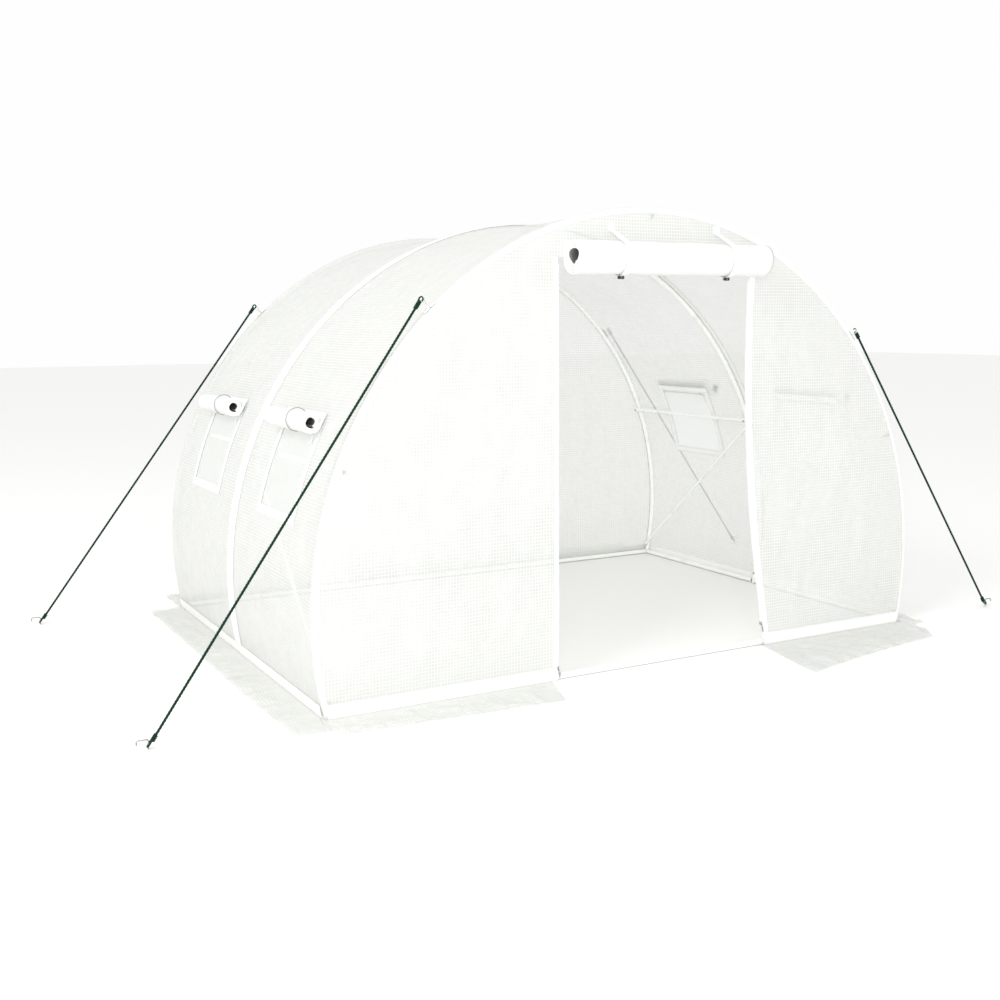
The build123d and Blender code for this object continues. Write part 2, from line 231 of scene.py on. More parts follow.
def arch_point(angle, out):
    """x and z of the arch's line, moved outwards by out: centre plus radius times cosine and
    sine. The right half is below 90 degrees, and the left half mirrors it."""
    near = np.minimum(angle, 180 - angle)
    side = np.where(angle <= 90, 1.0, -1.0)
    low = near <= belly_end
    reach = np.where(low, belly_radius, crown_radius) + out
    x = np.where(low, belly_x, 0.0) + reach * np.cos(np.radians(near))
    z = np.where(low, belly_height, crown_centre) + reach * np.sin(np.radians(near))
    return side * x, z


def arch_run(angle):
    """Metres along the arch's line from the right foot: each arc's radius times its angle."""
    near = np.minimum(angle, 180 - angle)
    foot = arch_angle(0.0)
    low = np.radians(np.minimum(near, belly_end) - foot) * belly_radius
    high = np.radians(np.maximum(near, belly_end) - belly_end) * crown_radius
    half = np.radians(belly_end - foot) * belly_radius + np.radians(90 - belly_end) * crown_radius
    return np.where(angle <= 90, low + high, 2 * half - low - high)


def waves(u, v, length, seed):
    """Smooth hills from about -1 to 1 over (u, v) in metres: a sum of sine waves over the height
    of the tallest hill, each with its own direction and phase, a third of length to length long."""
    chance = np.random.default_rng(seed)
    hills = np.zeros(np.broadcast(u, v).shape)
    for way, start, share in chance.uniform((0, 0, 1), (np.pi, 7, 3), (wave_count, 3)):
        along = u * np.cos(way) + v * np.sin(way)
        hills += np.sin(2 * np.pi * share * along / length + start)
    return hills / tallest_hill


def creases(u, v, length, seed):
    """Sharp-topped folds from -1 to 1: one minus twice the size of the waves."""
    return 1 - 2 * np.minimum(np.abs(waves(u, v, length, seed)), 1)


def film_lift(angle, y):
    """How far the film stands out from the arch's line: flat on the three arches, and hanging
    in by a parabola between them, deepest over the crown. Shallow creases fade out towards the
    arches and the stiff window frames."""
    between = np.clip(np.abs(y) / half_length, 0, 1)
    span = 4 * between * (1 - between)
    near = np.minimum(angle, 180 - angle)
    crown = np.clip((near - 10) / 70, 0, 1)
    start = np.clip((near - arch_angle(0.06)) / 14, 0, 1)
    slack = (slack_side + (slack_top - slack_side) * crown) * start
    run = arch_run(angle)
    beside = np.abs(np.abs(y) - half_length / 2) - window_half - window_calm
    low, high = arch_run(arch_angle(np.array([window_sill, window_top])))
    above = np.abs(arch_run(near) - (low + high) / 2) - (high - low) / 2 - window_calm
    calm = np.clip(np.maximum(beside, above) / 0.09, 0, 1)
    folds = calm * (0.6 * creases(run, y, 0.55, 3) + 0.4 * waves(run, y, 0.17, 4))
    return film_out - span * slack + np.sqrt(span) * start * crease_height * folds


def on_film(angle, y, lift=0.0):
    """Points on the film at these angles and places along the tunnel, lifted off its outside."""
    x, z = arch_point(angle, film_lift(angle, y) + lift)
    return np.stack([x, np.broadcast_to(y, x.shape), z], axis=-1)


def steps(marks, size):
    """Grid lines through every mark, with even steps of about this size between them."""
    spans = [
        np.linspace(a, b, max(2, math.ceil(abs(b - a) / size) + 1))[:-1]
        for a, b in zip(marks, marks[1:])
    ]
    return np.concatenate([*spans, [marks[-1]]])


def between_lines(lines):
    """The middle of each step between grid lines."""
    return (lines[1:] + lines[:-1]) / 2


def grid(points, uv, keep=None, turned=False):
    """A part that is a sheet through points, rows x columns x 3, without the cells that keep
    leaves out. Its outside is columns crossed with rows, or the other side if turned. The uv
    is an array of the same rows and columns, or its two halves, which are spread to them."""
    rows, columns = points.shape[:2]
    if isinstance(uv, tuple):
        uv = np.stack([np.broadcast_to(half, (rows, columns)) for half in uv], axis=-1)
    corner = (np.arange(rows - 1)[:, None] * columns + np.arange(columns - 1)).ravel()
    faces = np.stack([corner, corner + 1, corner + columns + 1, corner + columns], axis=-1)
    if turned:
        faces = faces[:, ::-1]
    if keep is not None:
        faces = faces[keep.ravel()]
    used, faces = np.unique(faces, return_inverse=True)
    return points.reshape(-1, 3)[used], [faces.reshape(-1, 4)], uv.reshape(-1, 2)[used]


def fitted(name, material, parts, slot, stands_for=(), **sheet):
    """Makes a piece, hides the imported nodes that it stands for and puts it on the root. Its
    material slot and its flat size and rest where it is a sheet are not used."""
    piece = piece_of(name, material, parts)
    if stands_for:
        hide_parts(*stands_for)
    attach(piece, "root")


film_colour = "#f2f3f0"
# The bore colour is painted shade for the dark inside of each roll.
painted_bore_shade = "#6a6c69"
glow_colour = "#dddedb"
thread_colour = "#f9faf8"
thread_gap = 0.014
thread_half = 0.13
film_clear = 0.40
thread_clear = 0.22
film_glow = 0.42
film_crinkle = 0.35
crinkle_size = 0.05
clouds_a_metre = 7.0
# Where the uv's second value is about this, the film is the lining of a roll, which is painted grey as
# painted shade.
bore_shade_mark = -10.0


def make_film(name, clear, crinkle, glowing):
    """Reinforced polyethylene film: two clear skins welded over a net of flat white threads.
    Light goes straight through the clear squares in part and glows through the rest."""
    film = new_material(name)
    place = add(film, "TexCoord")
    # The net's squares are 8 mm in the real film, drawn as 14 mm so that they show.
    cells = add(film, "VectorMath", {0: place["UV"], 3: 1 / thread_gap}, operation="SCALE")[0]
    inside = add(film, "VectorMath", {0: cells}, operation="FRACTION")[0]
    offset = add(film, "VectorMath", {0: inside, 1: (0.5, 0.5, 0.0)}, operation="SUBTRACT")[0]
    distance = add(film, "VectorMath", {0: offset}, operation="ABSOLUTE")[0]
    parts = add(film, "SeparateXYZ", {0: distance})
    edge = add(film, "Math", {0: parts[0], 1: parts[1]}, operation="MAXIMUM")[0]
    thread = {"Value": edge, "From Min": 0.5 - thread_half, "From Max": 0.5 - thread_half / 2}
    net = add(film, "MapRange", thread)[0]
    # The welded skins are cloudy in patches about a hand wide.
    clouds = add(film, "TexNoise", {"Vector": place["Object"], "Scale": clouds_a_metre, "Detail": 4.0})[0]
    cloud = {"Value": clouds, "From Min": 0.3, "From Max": 0.7, "To Min": clear, "To Max": clear * 0.6}
    openness = {0: net, 2: add(film, "MapRange", cloud)[0], 3: min(clear, thread_clear)}
    open_share = add(film, "Mix", openness, data_type="FLOAT")[0]
    shade = {0: net, 6: linear(film_colour), 7: linear(thread_colour)}
    colour = add(film, "Mix", shade, data_type="RGBA")[2]
    # The bores of the rolls are dark with shade, so their lining, marked in the uv, is painted grey:
    # painted shade.
    runs = add(film, "SeparateXYZ", {0: place["UV"]})[1]
    shaded_lining = add(film, "Math", {0: runs, 1: bore_shade_mark, 2: 0.9}, operation="COMPARE")[0]
    colour = add(film, "Mix", {0: shaded_lining, 6: colour, 7: linear(painted_bore_shade)}, data_type="RGBA")[2]
    # Packing leaves sharp crinkles a few centimetres apart, and the threads stand a little proud.
    packing = {"Vector": place["Object"], "Scale": 0.25 / crinkle_size, "Detail": 5.0, "Roughness": 0.55}
    crinkles = add(film, "TexNoise", packing, noise_type="RIDGED_MULTIFRACTAL")[0]
    crinkled = add(film, "Bump", {"Height": crinkles, "Strength": crinkle, "Distance": 0.004})[0]
    proud = {"Height": net, "Strength": 0.5, "Distance": 0.0006, "Normal": crinkled}
    normal = add(film, "Bump", proud)[0]
    skin_look = {"Base Color": colour, "Roughness": 0.38, "IOR": 1.5, "Normal": normal}
    skin = add(film, "BsdfPrincipled", skin_look)[0]
    glow = add(film, "BsdfTranslucent", {"Color": linear(glow_colour), "Normal": normal})[0]
    body = add(film, "MixShader", {0: glowing, 1: skin, 2: glow})[0]
    through = add(film, "BsdfTransparent")[0]
    show(film, add(film, "MixShader", {0: open_share, 1: body, 2: through}))
    return film


cover_film = make_film("reinforced_film", film_clear, film_crinkle, film_glow)
wrap_turn = np.radians(np.linspace(90, 0, 6)[:-1])
foot_angle = arch_angle(foot_level, film_out)
sill_angle, top_angle = arch_angle(np.array([window_sill, window_top]), film_out)
half_marks = [foot_angle, sill_angle, top_angle]
angle_marks = half_marks + [90] + [180 - mark for mark in half_marks[::-1]]
cover_angles = steps(angle_marks, np.degrees(cover_step / belly_radius))
cover_run = float(arch_run(cover_angles[-1]) - arch_run(cover_angles[0]))
cover_wide = half_length + film_out * math.pi / 2
window_area = 2 * window_half * float(arch_run(top_angle) - arch_run(sill_angle))
for bay, way in (("front", -1), ("rear", 1)):
    middle = way * half_length / 2
    y_marks = [way * half_length, middle + way * window_half, middle - way * window_half, 0.0]
    flat_y = steps(y_marks, cover_step)
    wrap_y = way * (half_length + film_out * np.sin(wrap_turn))
    angle, bent = np.meshgrid(cover_angles, film_out * np.cos(wrap_turn), indexing="ij")
    x, z = arch_point(angle, bent)
    turned_in = np.stack([x, np.broadcast_to(wrap_y, x.shape), z], axis=-1)
    points = np.concatenate([turned_in, on_film(*np.meshgrid(cover_angles, flat_y, indexing="ij"))], axis=1)
    points[..., 2] = np.maximum(points[..., 2], foot_level)
    y_run = np.concatenate([way * (half_length + film_out * wrap_turn), flat_y])
    y_middles = between_lines(np.concatenate([wrap_y, flat_y]))
    z_middles = arch_point(between_lines(cover_angles), film_out)[1]
    window_z = (z_middles > window_sill) & (z_middles < window_top)
    keep = ~(window_z[:, None] & (np.abs(y_middles - middle) < window_half))
    fitted(
        f"{bay}_bay_cover",
        cover_film,
        [grid(points, (arch_run(cover_angles)[:, None], y_run), keep, turned=way > 0)],
        "cover_film",
        [f"left_{bay}_cover", f"right_{bay}_cover"],
        flat=(cover_wide, cover_run),
        held="stretched",
        rests_on=[f"{bay}_arch", "middle_arch"],
        area=cover_wide * cover_run - 2 * window_area,
    )

# End walls: the same film, cut to the arch and sewn to the cover's turned edge. The rear wall is
# whole. The front has a panel on each side of the doorway and a narrow one above it. The right
# panel's free edge hangs slack to the right, and the left panel's edge is straight.
door_left = -0.480
door_right_foot = 0.650
door_right_top = 0.530
door_slack = 0.061
door_head = 1.765
# The right panel is cut this far from the middle, just inside its slack edge.
right_panel_cut = 0.49
wall_face = half_length + film_out
wall_fold = 0.0075
wall_step = 0.0145
wall_top_gap = 0.002


def arch_reach(z):
    """Half the arch's width at this height: the arc's centre plus the root of its radius
    squared minus the height above its centre squared."""
    low = belly_x + np.sqrt(np.maximum(belly_radius**2 - (z - belly_height) ** 2, 0))
    high = np.sqrt(np.maximum(crown_radius**2 - (z - crown_centre) ** 2, 0))
    return np.where(z <= belly_height + belly_radius * math.sin(math.radians(belly_end)), low, high)


def left_edge(z):
    """The doorway's left edge: the same x at every height."""
    return np.full(z.shape, door_left)


def right_edge(z):
    """The doorway's right edge: a straight lean from foot to head plus a parabola of slack."""
    t = z / door_head
    return door_right_foot + (door_right_top - door_right_foot) * t - door_slack * 4 * t * (1 - t)


def on_wall(x, z, way, lift=0.0):
    """Points of an end wall: its plane, pushed out by soft folds that die away at the arch and
    near the ground."""
    inner = np.clip((arch_reach(z) - np.abs(x) - 0.02) / 0.22, 0, 1)
    above = np.clip((z - 0.06) / 0.15, 0, 1)
    below = np.clip((arch_height - z - 0.05) / 0.2, 0, 1)
    drape = 0.5 + 0.3 * creases(x, z * 0.45, 0.75, 11) + 0.2 * waves(x, z, 0.2, 12)
    out = wall_face + wall_fold * inner * above * below * drape + lift
    return np.stack([x, way * out, z], axis=-1)


def wall_sheet(left, right, heights, way, lift=0.0, as_tape=False, size=wall_step):
    """A part on an end wall between a left and a right edge, given at each height. A tape's uv
    is (height, distance to its nearer edge), and a sheet's is (x, height)."""
    columns = max(2, math.ceil(float(np.max(right - left)) / size)) + 1
    share = np.linspace(0, 1, columns)
    x = left[:, None] + (right - left)[:, None] * share
    z = np.broadcast_to(heights[:, None], x.shape)
    wide = (right - left)[:, None] * np.minimum(share, 1 - share)
    return grid(on_wall(x, z, way, lift), (z, wide) if as_tape else (x, z), turned=way > 0)


def area_of(widths, marks):
    """Area in square metres: each step between the marks times its mean width."""
    return float(np.sum(between_lines(widths) * np.diff(marks)))


def end_wall(name, node, part, arch, wide, tall, area):
    """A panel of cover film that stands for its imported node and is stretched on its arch."""
    size = {"flat": (wide, tall), "held": "stretched", "rests_on": [arch], "area": area}
    fitted(name, cover_film, [part], "cover_film", [node], **size)


full_reach = float(arch_reach(np.array(belly_height)))
rise = np.linspace(0, 0.985, 150)
heights = foot_level + (arch_height - foot_level) * (1 - (1 - rise) ** 2)
edge = arch_reach(heights)
rear_part = wall_sheet(-edge, edge, heights, 1)
rear_area = area_of(2 * edge, heights)
end_wall("rear_wall_film", "rear_wall", rear_part, "rear_arch", 2 * full_reach, arch_height, rear_area)

tall = float(arch_point(90 + np.degrees(np.arcsin(-door_left / crown_radius)), 0.0)[1])
heights = steps([foot_level, tall - wall_top_gap], wall_step)
edge = arch_reach(heights)
part = wall_sheet(-edge, left_edge(heights), heights, -1)
area = area_of(left_edge(heights) + edge, heights)
end_wall("front_left_film", "front_left_panel", part, "front_arch", full_reach + door_left, tall, area)

tall = float(arch_point(90 - np.degrees(np.arcsin(door_right_top / crown_radius)), 0.0)[1])
heights = steps([foot_level, door_head, tall - wall_top_gap], wall_step)
edge = arch_reach(heights)
inner_edge = np.where(heights <= door_head, right_edge(heights), door_right_top)
part = wall_sheet(inner_edge, edge, heights, -1)
area = area_of(edge - inner_edge, heights)
wide = full_reach - right_panel_cut
end_wall("front_right_film", "front_right_panel", part, "front_arch", wide, tall, area)

head_x = steps([door_left, door_right_top], wall_step)
head_top = crown_centre + np.sqrt(crown_radius**2 - head_x**2)
head_z = door_head + (head_top - door_head) * np.linspace(0, 1, 15)[:, None]
part = grid(on_wall(np.broadcast_to(head_x, head_z.shape), head_z, -1), (head_x, head_z))
area = area_of(head_top - door_head, head_x)
wide, tall = door_right_top - door_left, arch_height - door_head
end_wall("front_top_film", "front_top_panel", part, "front_arch", wide, tall, area)

# Tapes: flat woven tape stitched over the film's seams. A wide one runs over the middle arch, with
# another inside the film against the tube. A narrow one follows each end arch, and hems run along
# the ground and up the doorway's two edges.
tape_colour = "#fbfbf9"
stitch_colour = "#d3d5d1"
rib_gap = 0.004
stitch_gap = 0.012
stitch_in = 0.005
stitch_half = 0.0012
tape_glowing = 0.05
tape_step = 0.02
band_half = 0.0475
band_foot = 0.010
band_lifts = ((0.0014, False), (-0.0009, True))
seam_in = 0.010
seam_lift = 0.001
hem_tall = 0.055
hem_lifts = ((0.0030, False), (-0.0006, True))
left_hem = 0.018
right_hem = 0.033
door_hem_lift = 0.0021

woven_tape = new_material("woven_tape")
tape_parts = add(woven_tape, "SeparateXYZ", {0: add(woven_tape, "TexCoord")["UV"]})
# The ribs of the weave are 1 mm apart in the real tape, drawn as 4 mm so that they show.
rib_turn = {0: tape_parts[0], 1: 2 * math.pi / rib_gap}
rib_place = add(woven_tape, "Math", rib_turn, operation="MULTIPLY")[0]
ribs = add(woven_tape, "Math", {0: rib_place}, operation="SINE")[0]
# A row of stitches runs along both edges. They are 4 mm long, drawn as 8 mm.
stitch_place = add(woven_tape, "Math", {0: tape_parts[0], 1: stitch_gap}, operation="MODULO")[0]
one_stitch = {0: stitch_place, 1: stitch_gap / 3, 2: stitch_gap / 3}
stitch_along = add(woven_tape, "Math", one_stitch, operation="COMPARE")[0]
stitch_row = {0: tape_parts[1], 1: stitch_in, 2: stitch_half}
stitch_across = add(woven_tape, "Math", stitch_row, operation="COMPARE")[0]
stitches = add(woven_tape, "Math", {0: stitch_along, 1: stitch_across}, operation="MULTIPLY")[0]
tape_mix = {0: stitches, 6: linear(tape_colour), 7: linear(stitch_colour)}
tape_shade = add(woven_tape, "Mix", tape_mix, data_type="RGBA")[2]
tape_ribbed = add(woven_tape, "Bump", {"Height": ribs, "Strength": 0.25, "Distance": 0.0005})[0]
sewn = {"Height": stitches, "Strength": 0.6, "Distance": 0.001, "Normal": tape_ribbed}
tape_look = {"Base Color": tape_shade, "Roughness": 0.62, "Normal": add(woven_tape, "Bump", sewn)[0]}
tape_skin = add(woven_tape, "BsdfPrincipled", tape_look)[0]
tape_glow = add(woven_tape, "BsdfTranslucent", {"Color": tape_shade})[0]
show(woven_tape, add(woven_tape, "MixShader", {0: tape_glowing, 1: tape_skin, 2: tape_glow}))


def tape(name, parts, wide, long, held, rests_on, stands_for=()):
    """A piece of woven tape. Its flat width and length are not used."""
    size = {"flat": (wide, long), "held": held, "rests_on": rests_on}
    fitted(name, woven_tape, parts, "white_webbing", stands_for, **size)


band_start = arch_angle(band_foot, film_out)
band_angles = steps([band_start, 180 - band_start], 0.5)
angle, y = np.meshgrid(band_angles, np.linspace(-band_half, band_half, 9), indexing="ij")
parts = [
    grid(on_film(angle, y, lift), (arch_run(angle), band_half - np.abs(y)), turned=inside)
    for lift, inside in band_lifts
]
band_run = float(arch_run(band_angles[-1]) - arch_run(band_angles[0]))
tape("middle_band_tapes", parts, 4 * band_half, band_run, "stretched", ["middle_arch"], ["middle_band"])

# The seam tape's outer half turns round the arch tube with the cover.
seam_turn = np.radians([0, 15, 30, 45])
seam_r = film_out + seam_lift
seam_wide = seam_in + seam_r * float(seam_turn[-1])
seam_out = np.concatenate([[-seam_in, -seam_in / 2], seam_r * np.sin(seam_turn)])
seam_y = half_length + np.concatenate([[seam_r] * 2, seam_r * np.cos(seam_turn)])
seam_across = seam_wide / 2 - np.abs(np.linspace(-seam_wide / 2, seam_wide / 2, len(seam_out)))
parts = []
for way in (-1, 1):
    angle, out = np.meshgrid(steps([foot_angle, 180 - foot_angle], 0.5), seam_out, indexing="ij")
    x, z = arch_point(angle, out)
    points = np.stack([x, np.broadcast_to(way * seam_y, x.shape), np.maximum(z, foot_level)], axis=-1)
    parts.append(grid(points, (arch_run(angle), seam_across), turned=way < 0))
tape("arch_seam_tapes", parts, seam_wide, 2 * cover_run, "stretched", ["front_arch", "rear_arch"])

hem_z = np.array([foot_level, 0.006, hem_tall / 2, hem_tall - 0.005, hem_tall])
hem_v = hem_tall / 2 - np.abs(hem_z - hem_tall / 2)
parts = []
for turned in (False, True):
    low_angles = arch_angle(hem_z, film_out)
    angles = 180 - low_angles if turned else low_angles
    angle, y = np.meshgrid(angles, steps([-half_length, half_length], tape_step), indexing="ij")
    for lift, inside in hem_lifts:
        parts.append(grid(on_film(angle, y, lift), (y, hem_v[:, None]), turned=turned != inside))
edge = arch_reach(hem_z)
for left, right, way in ((-edge, left_edge(hem_z), -1), (right_edge(hem_z), edge, -1), (-edge, edge, 1)):
    points, faces, uv = wall_sheet(left, right, hem_z, way, hem_lifts[0][0], size=tape_step)
    hem_uv = np.stack([uv[:, 0], hem_tall / 2 - np.abs(uv[:, 1] - hem_tall / 2)], axis=-1)
    parts.append((points, faces, hem_uv))
hem_run = 8 * half_length + 4 * foot_half_width - (door_right_foot - door_left)
tape("ground_hems", parts, hem_tall, hem_run, "stretched", ["front_base_rail"])

z = steps([foot_level, door_head], 0.014)
parts = [
    wall_sheet(left_edge(z) - left_hem, left_edge(z), z, -1, door_hem_lift, True, 0.005),
    wall_sheet(right_edge(z), right_edge(z) + right_hem, z, -1, door_hem_lift, True, 0.005),
]
tape("doorway_hems", parts, left_hem + right_hem, door_head, "hung", ["front_arch"])

# Windows: a net of fine white threads is sewn into each opening under four strips of tape that
# overlap at the corners. Its film flap is rolled up above it in a dark elastic loop, half a metre
# in two loose turns, drawn thick to take in the air between them. A white tie tape hangs beside.
net_colour = "#eef1ee"
net_gap = 0.005
net_thread = 0.30
net_glowing = 0.35
net_under = 0.0014
net_in = 0.012
frame_wide = 0.035
sill_lifts = ((0.0018, False), (-0.0022, True))
side_lifts = ((0.0012, False), (-0.0018, True))
window_step = 0.6
rolled_clear = 0.0
rolled_crinkle = 0.5
rolled_glow = 0.12
turn_points = 34
# The innermost points of each roll's section, which get the painted shade of its bore.
shaded_lining_points = 36
sheet_edge = 0.0008
flap_bore = 0.0145
flap_turns = 2.1
flap_thick = 0.0115
flap_tail = 0.062
flap_lean = math.radians(26.0)
cord_colour = "#6f736f"
cord_pale = "#8b8e8a"
braid_size = 0.003
cord_r = 0.0016
tie_wide = 0.016
tie_long = 0.085
tie_in = 0.055
left_loop_in = 0.17
right_loop_in = 0.10

insect_net = new_material("insect_net")
net_uv = add(insect_net, "TexCoord")["UV"]
# The net's meshes are about 1.3 mm wide in the real net, drawn as 5 mm so that they show.
net_cells = add(insect_net, "VectorMath", {0: net_uv, 3: 1 / net_gap}, operation="SCALE")[0]
net_inside = add(insect_net, "VectorMath", {0: net_cells}, operation="FRACTION")[0]
net_parts = add(insect_net, "SeparateXYZ", {0: net_inside})
net_first = add(insect_net, "Math", {0: net_parts[0], 1: net_thread}, operation="LESS_THAN")[0]
net_second = add(insect_net, "Math", {0: net_parts[1], 1: net_thread}, operation="LESS_THAN")[0]
net_solid = add(insect_net, "Math", {0: net_first, 1: net_second}, operation="MAXIMUM")[0]
net_skin = add(insect_net, "BsdfPrincipled", {"Base Color": linear(net_colour), "Roughness": 0.5})[0]
net_glow = add(insect_net, "BsdfTranslucent", {"Color": linear(net_colour)})[0]
net_body = add(insect_net, "MixShader", {0: net_glowing, 1: net_skin, 2: net_glow})[0]
net_open = add(insect_net, "BsdfTransparent")[0]
show(insect_net, add(insect_net, "MixShader", {0: net_solid, 1: net_open, 2: net_body}))

rolled_film = make_film("rolled_film", rolled_clear, rolled_crinkle, rolled_glow)

elastic_cord = new_material("elastic_cord")
# The cord's braid is 1 mm in the real cord, drawn as 3 mm so that it shows.
braid_look = {"Scale": 1 / braid_size, "Color1": linear(cord_colour), "Color2": linear(cord_pale)}
braid = add(elastic_cord, "TexChecker", {"Vector": add(elastic_cord, "TexCoord")["UV"], **braid_look})
show(elastic_cord, add(elastic_cord, "BsdfPrincipled", {"Base Color": braid[0], "Roughness": 0.7}))


def along_path(path):
    """Metres along a path to each of its points: the lengths of the steps before it, added up."""
    return np.concatenate([[0], np.cumsum(np.linalg.norm(np.diff(path, axis=0), axis=1))])


def tube(path, radius, across, sides=8, ring=False):
    """A part that is a round bar along a path n x 3: each point plus radius times the cosine and
    sine of a turn, along two directions square to the path. across is never along the path. A
    ring joins its ends, and other bars are closed with a flat face at each end."""
    if ring:
        ahead = np.roll(path, -1, axis=0) - np.roll(path, 1, axis=0)
    else:
        ahead = np.gradient(path, axis=0)
    ahead /= np.linalg.norm(ahead, axis=1)[:, None]
    first = np.cross(ahead, across)
    first /= np.linalg.norm(first, axis=1)[:, None]
    second = np.cross(ahead, first)
    turn = np.linspace(0, 2 * np.pi, sides, endpoint=False)
    reach = np.broadcast_to(radius, (len(path),))[:, None, None]
    spokes = first[:, None] * np.cos(turn)[:, None] + second[:, None] * np.sin(turn)[:, None]
    points = (path[:, None] + reach * spokes).reshape(-1, 3)
    rows = np.arange(len(path) if ring else len(path) - 1)[:, None]
    here = (rows * sides + np.arange(sides)).ravel()
    beside = (rows * sides + (np.arange(sides) + 1) % sides).ravel()
    after = len(path) * sides
    faces = [np.stack([here, beside, (beside + sides) % after, (here + sides) % after], axis=-1)]
    if not ring:
        start = np.arange(sides)[::-1]
        faces += [start[None], after - 1 - start[None]]
    round_it = np.broadcast_to(turn * float(np.mean(radius)), (len(path), sides))
    uv = np.stack([np.broadcast_to(along_path(path)[:, None], round_it.shape), round_it], axis=-1)
    return points, faces, uv.reshape(-1, 2)


def rolled(bore, outside, turns, thick, tail):
    """Section of a rolled sheet in (out, up), n x 2 each for its outer and inner side. The
    radius grows evenly with the turn, up to the side nearest the wall, and then it runs up."""
    turn = np.linspace(turns * 2 * np.pi, 0, math.ceil(turns * turn_points)) + np.pi
    middle = np.linspace(bore + thick / 2, outside - thick / 2, len(turn))
    round_it = np.stack([np.cos(turn), np.sin(turn)], axis=-1)
    rise = np.linspace(0, tail, 7)[1:]
    tail_half = np.linspace(thick / 2, sheet_edge, 6)
    half = np.concatenate([np.full(len(turn), thick / 2), tail_half])
    tail_line = np.stack([tail_half - middle[-1] - thick / 2, rise], axis=-1)
    path = np.concatenate([round_it * middle[:, None], tail_line])
    side = np.concatenate([round_it, np.tile([[-1.0, 0.0]], (6, 1))])
    return path + side * half[:, None], path - side * half[:, None]


def carried(outer, inner, place):
    """A part with this section, carried along by place(section): the points of every
    cross-section as rows x n x 3. Both ends are closed by a strip between outer and inner. The
    uv is the length along the roll and the length round it, moved aside in the roll's bore to
    mark it for painted shade."""
    points = place(np.concatenate([outer, inner[::-1]]))
    rows, count = points.shape[:2]
    row = np.arange(rows - 1)[:, None] * count
    here = (row + np.arange(count)).ravel()
    beside = (row + (np.arange(count) + 1) % count).ravel()
    walls = np.stack([here, beside, beside + count, here + count], axis=-1)
    edge = np.arange(len(outer) - 1)
    facing = count - 1 - edge
    cap = np.stack([edge, facing, facing - 1, edge + 1], axis=-1)
    far_cap = cap[:, ::-1] + (rows - 1) * count
    run = along_path(outer)
    shaded_lining = np.where(np.arange(len(run)) < shaded_lining_points, run + bore_shade_mark, run)
    round_it = np.concatenate([run, shaded_lining[::-1]])
    across_it = np.linalg.norm(points[:, 0] - points[0, 0], axis=1)
    uv = np.stack(np.meshgrid(across_it, round_it, indexing="ij"), axis=-1)
    return points.reshape(-1, 3), [walls, cap, far_cap], uv.reshape(-1, 2)


out_way = np.array([math.cos(flap_lean), math.sin(flap_lean)])
up_way = np.array([-out_way[1], out_way[0]])


def flap_along(low, high, tied_y, section):
    """The flap's section at each y between its packed roll's corners, on the right side: turned
    by its lean, pulled in a little at its loop, slightly uneven, and ragged at both ends."""
    y = steps([low.y, high.y], 0.012)[:, None]
    roll_r = (high.z - low.z) / 2
    out, up = section[:, 0], section[:, 1]
    turn = np.arctan2(up, out)
    waist = 1 - 0.05 * np.exp(-(((y - tied_y) / 0.02) ** 2))
    uneven = 1 - 0.03 * (0.5 + 0.5 * waves(y, turn * 0.05, 0.4, 31))
    scale = np.where(up < roll_r, waist * uneven, 1.0)
    shift = -(1 - scale) * roll_r * 0.9
    end = np.clip(1 - np.minimum(y - low.y, high.y - y) / 0.012, 0, 1)
    middle_y = math.copysign(half_length / 2, low.y + high.y)
    ragged = 0.003 * end * np.sin(3 * turn + 60 * np.hypot(out, up)) * np.sign(y - middle_y)
    out, up = scale * out + shift, scale * up
    x = abs(low.x + high.x) / 2 + out * out_way[0] + up * up_way[0]
    z = (low.z + high.z) / 2 + out * out_way[1] + up * up_way[1]
    return np.stack([x, y + ragged, z], axis=-1)


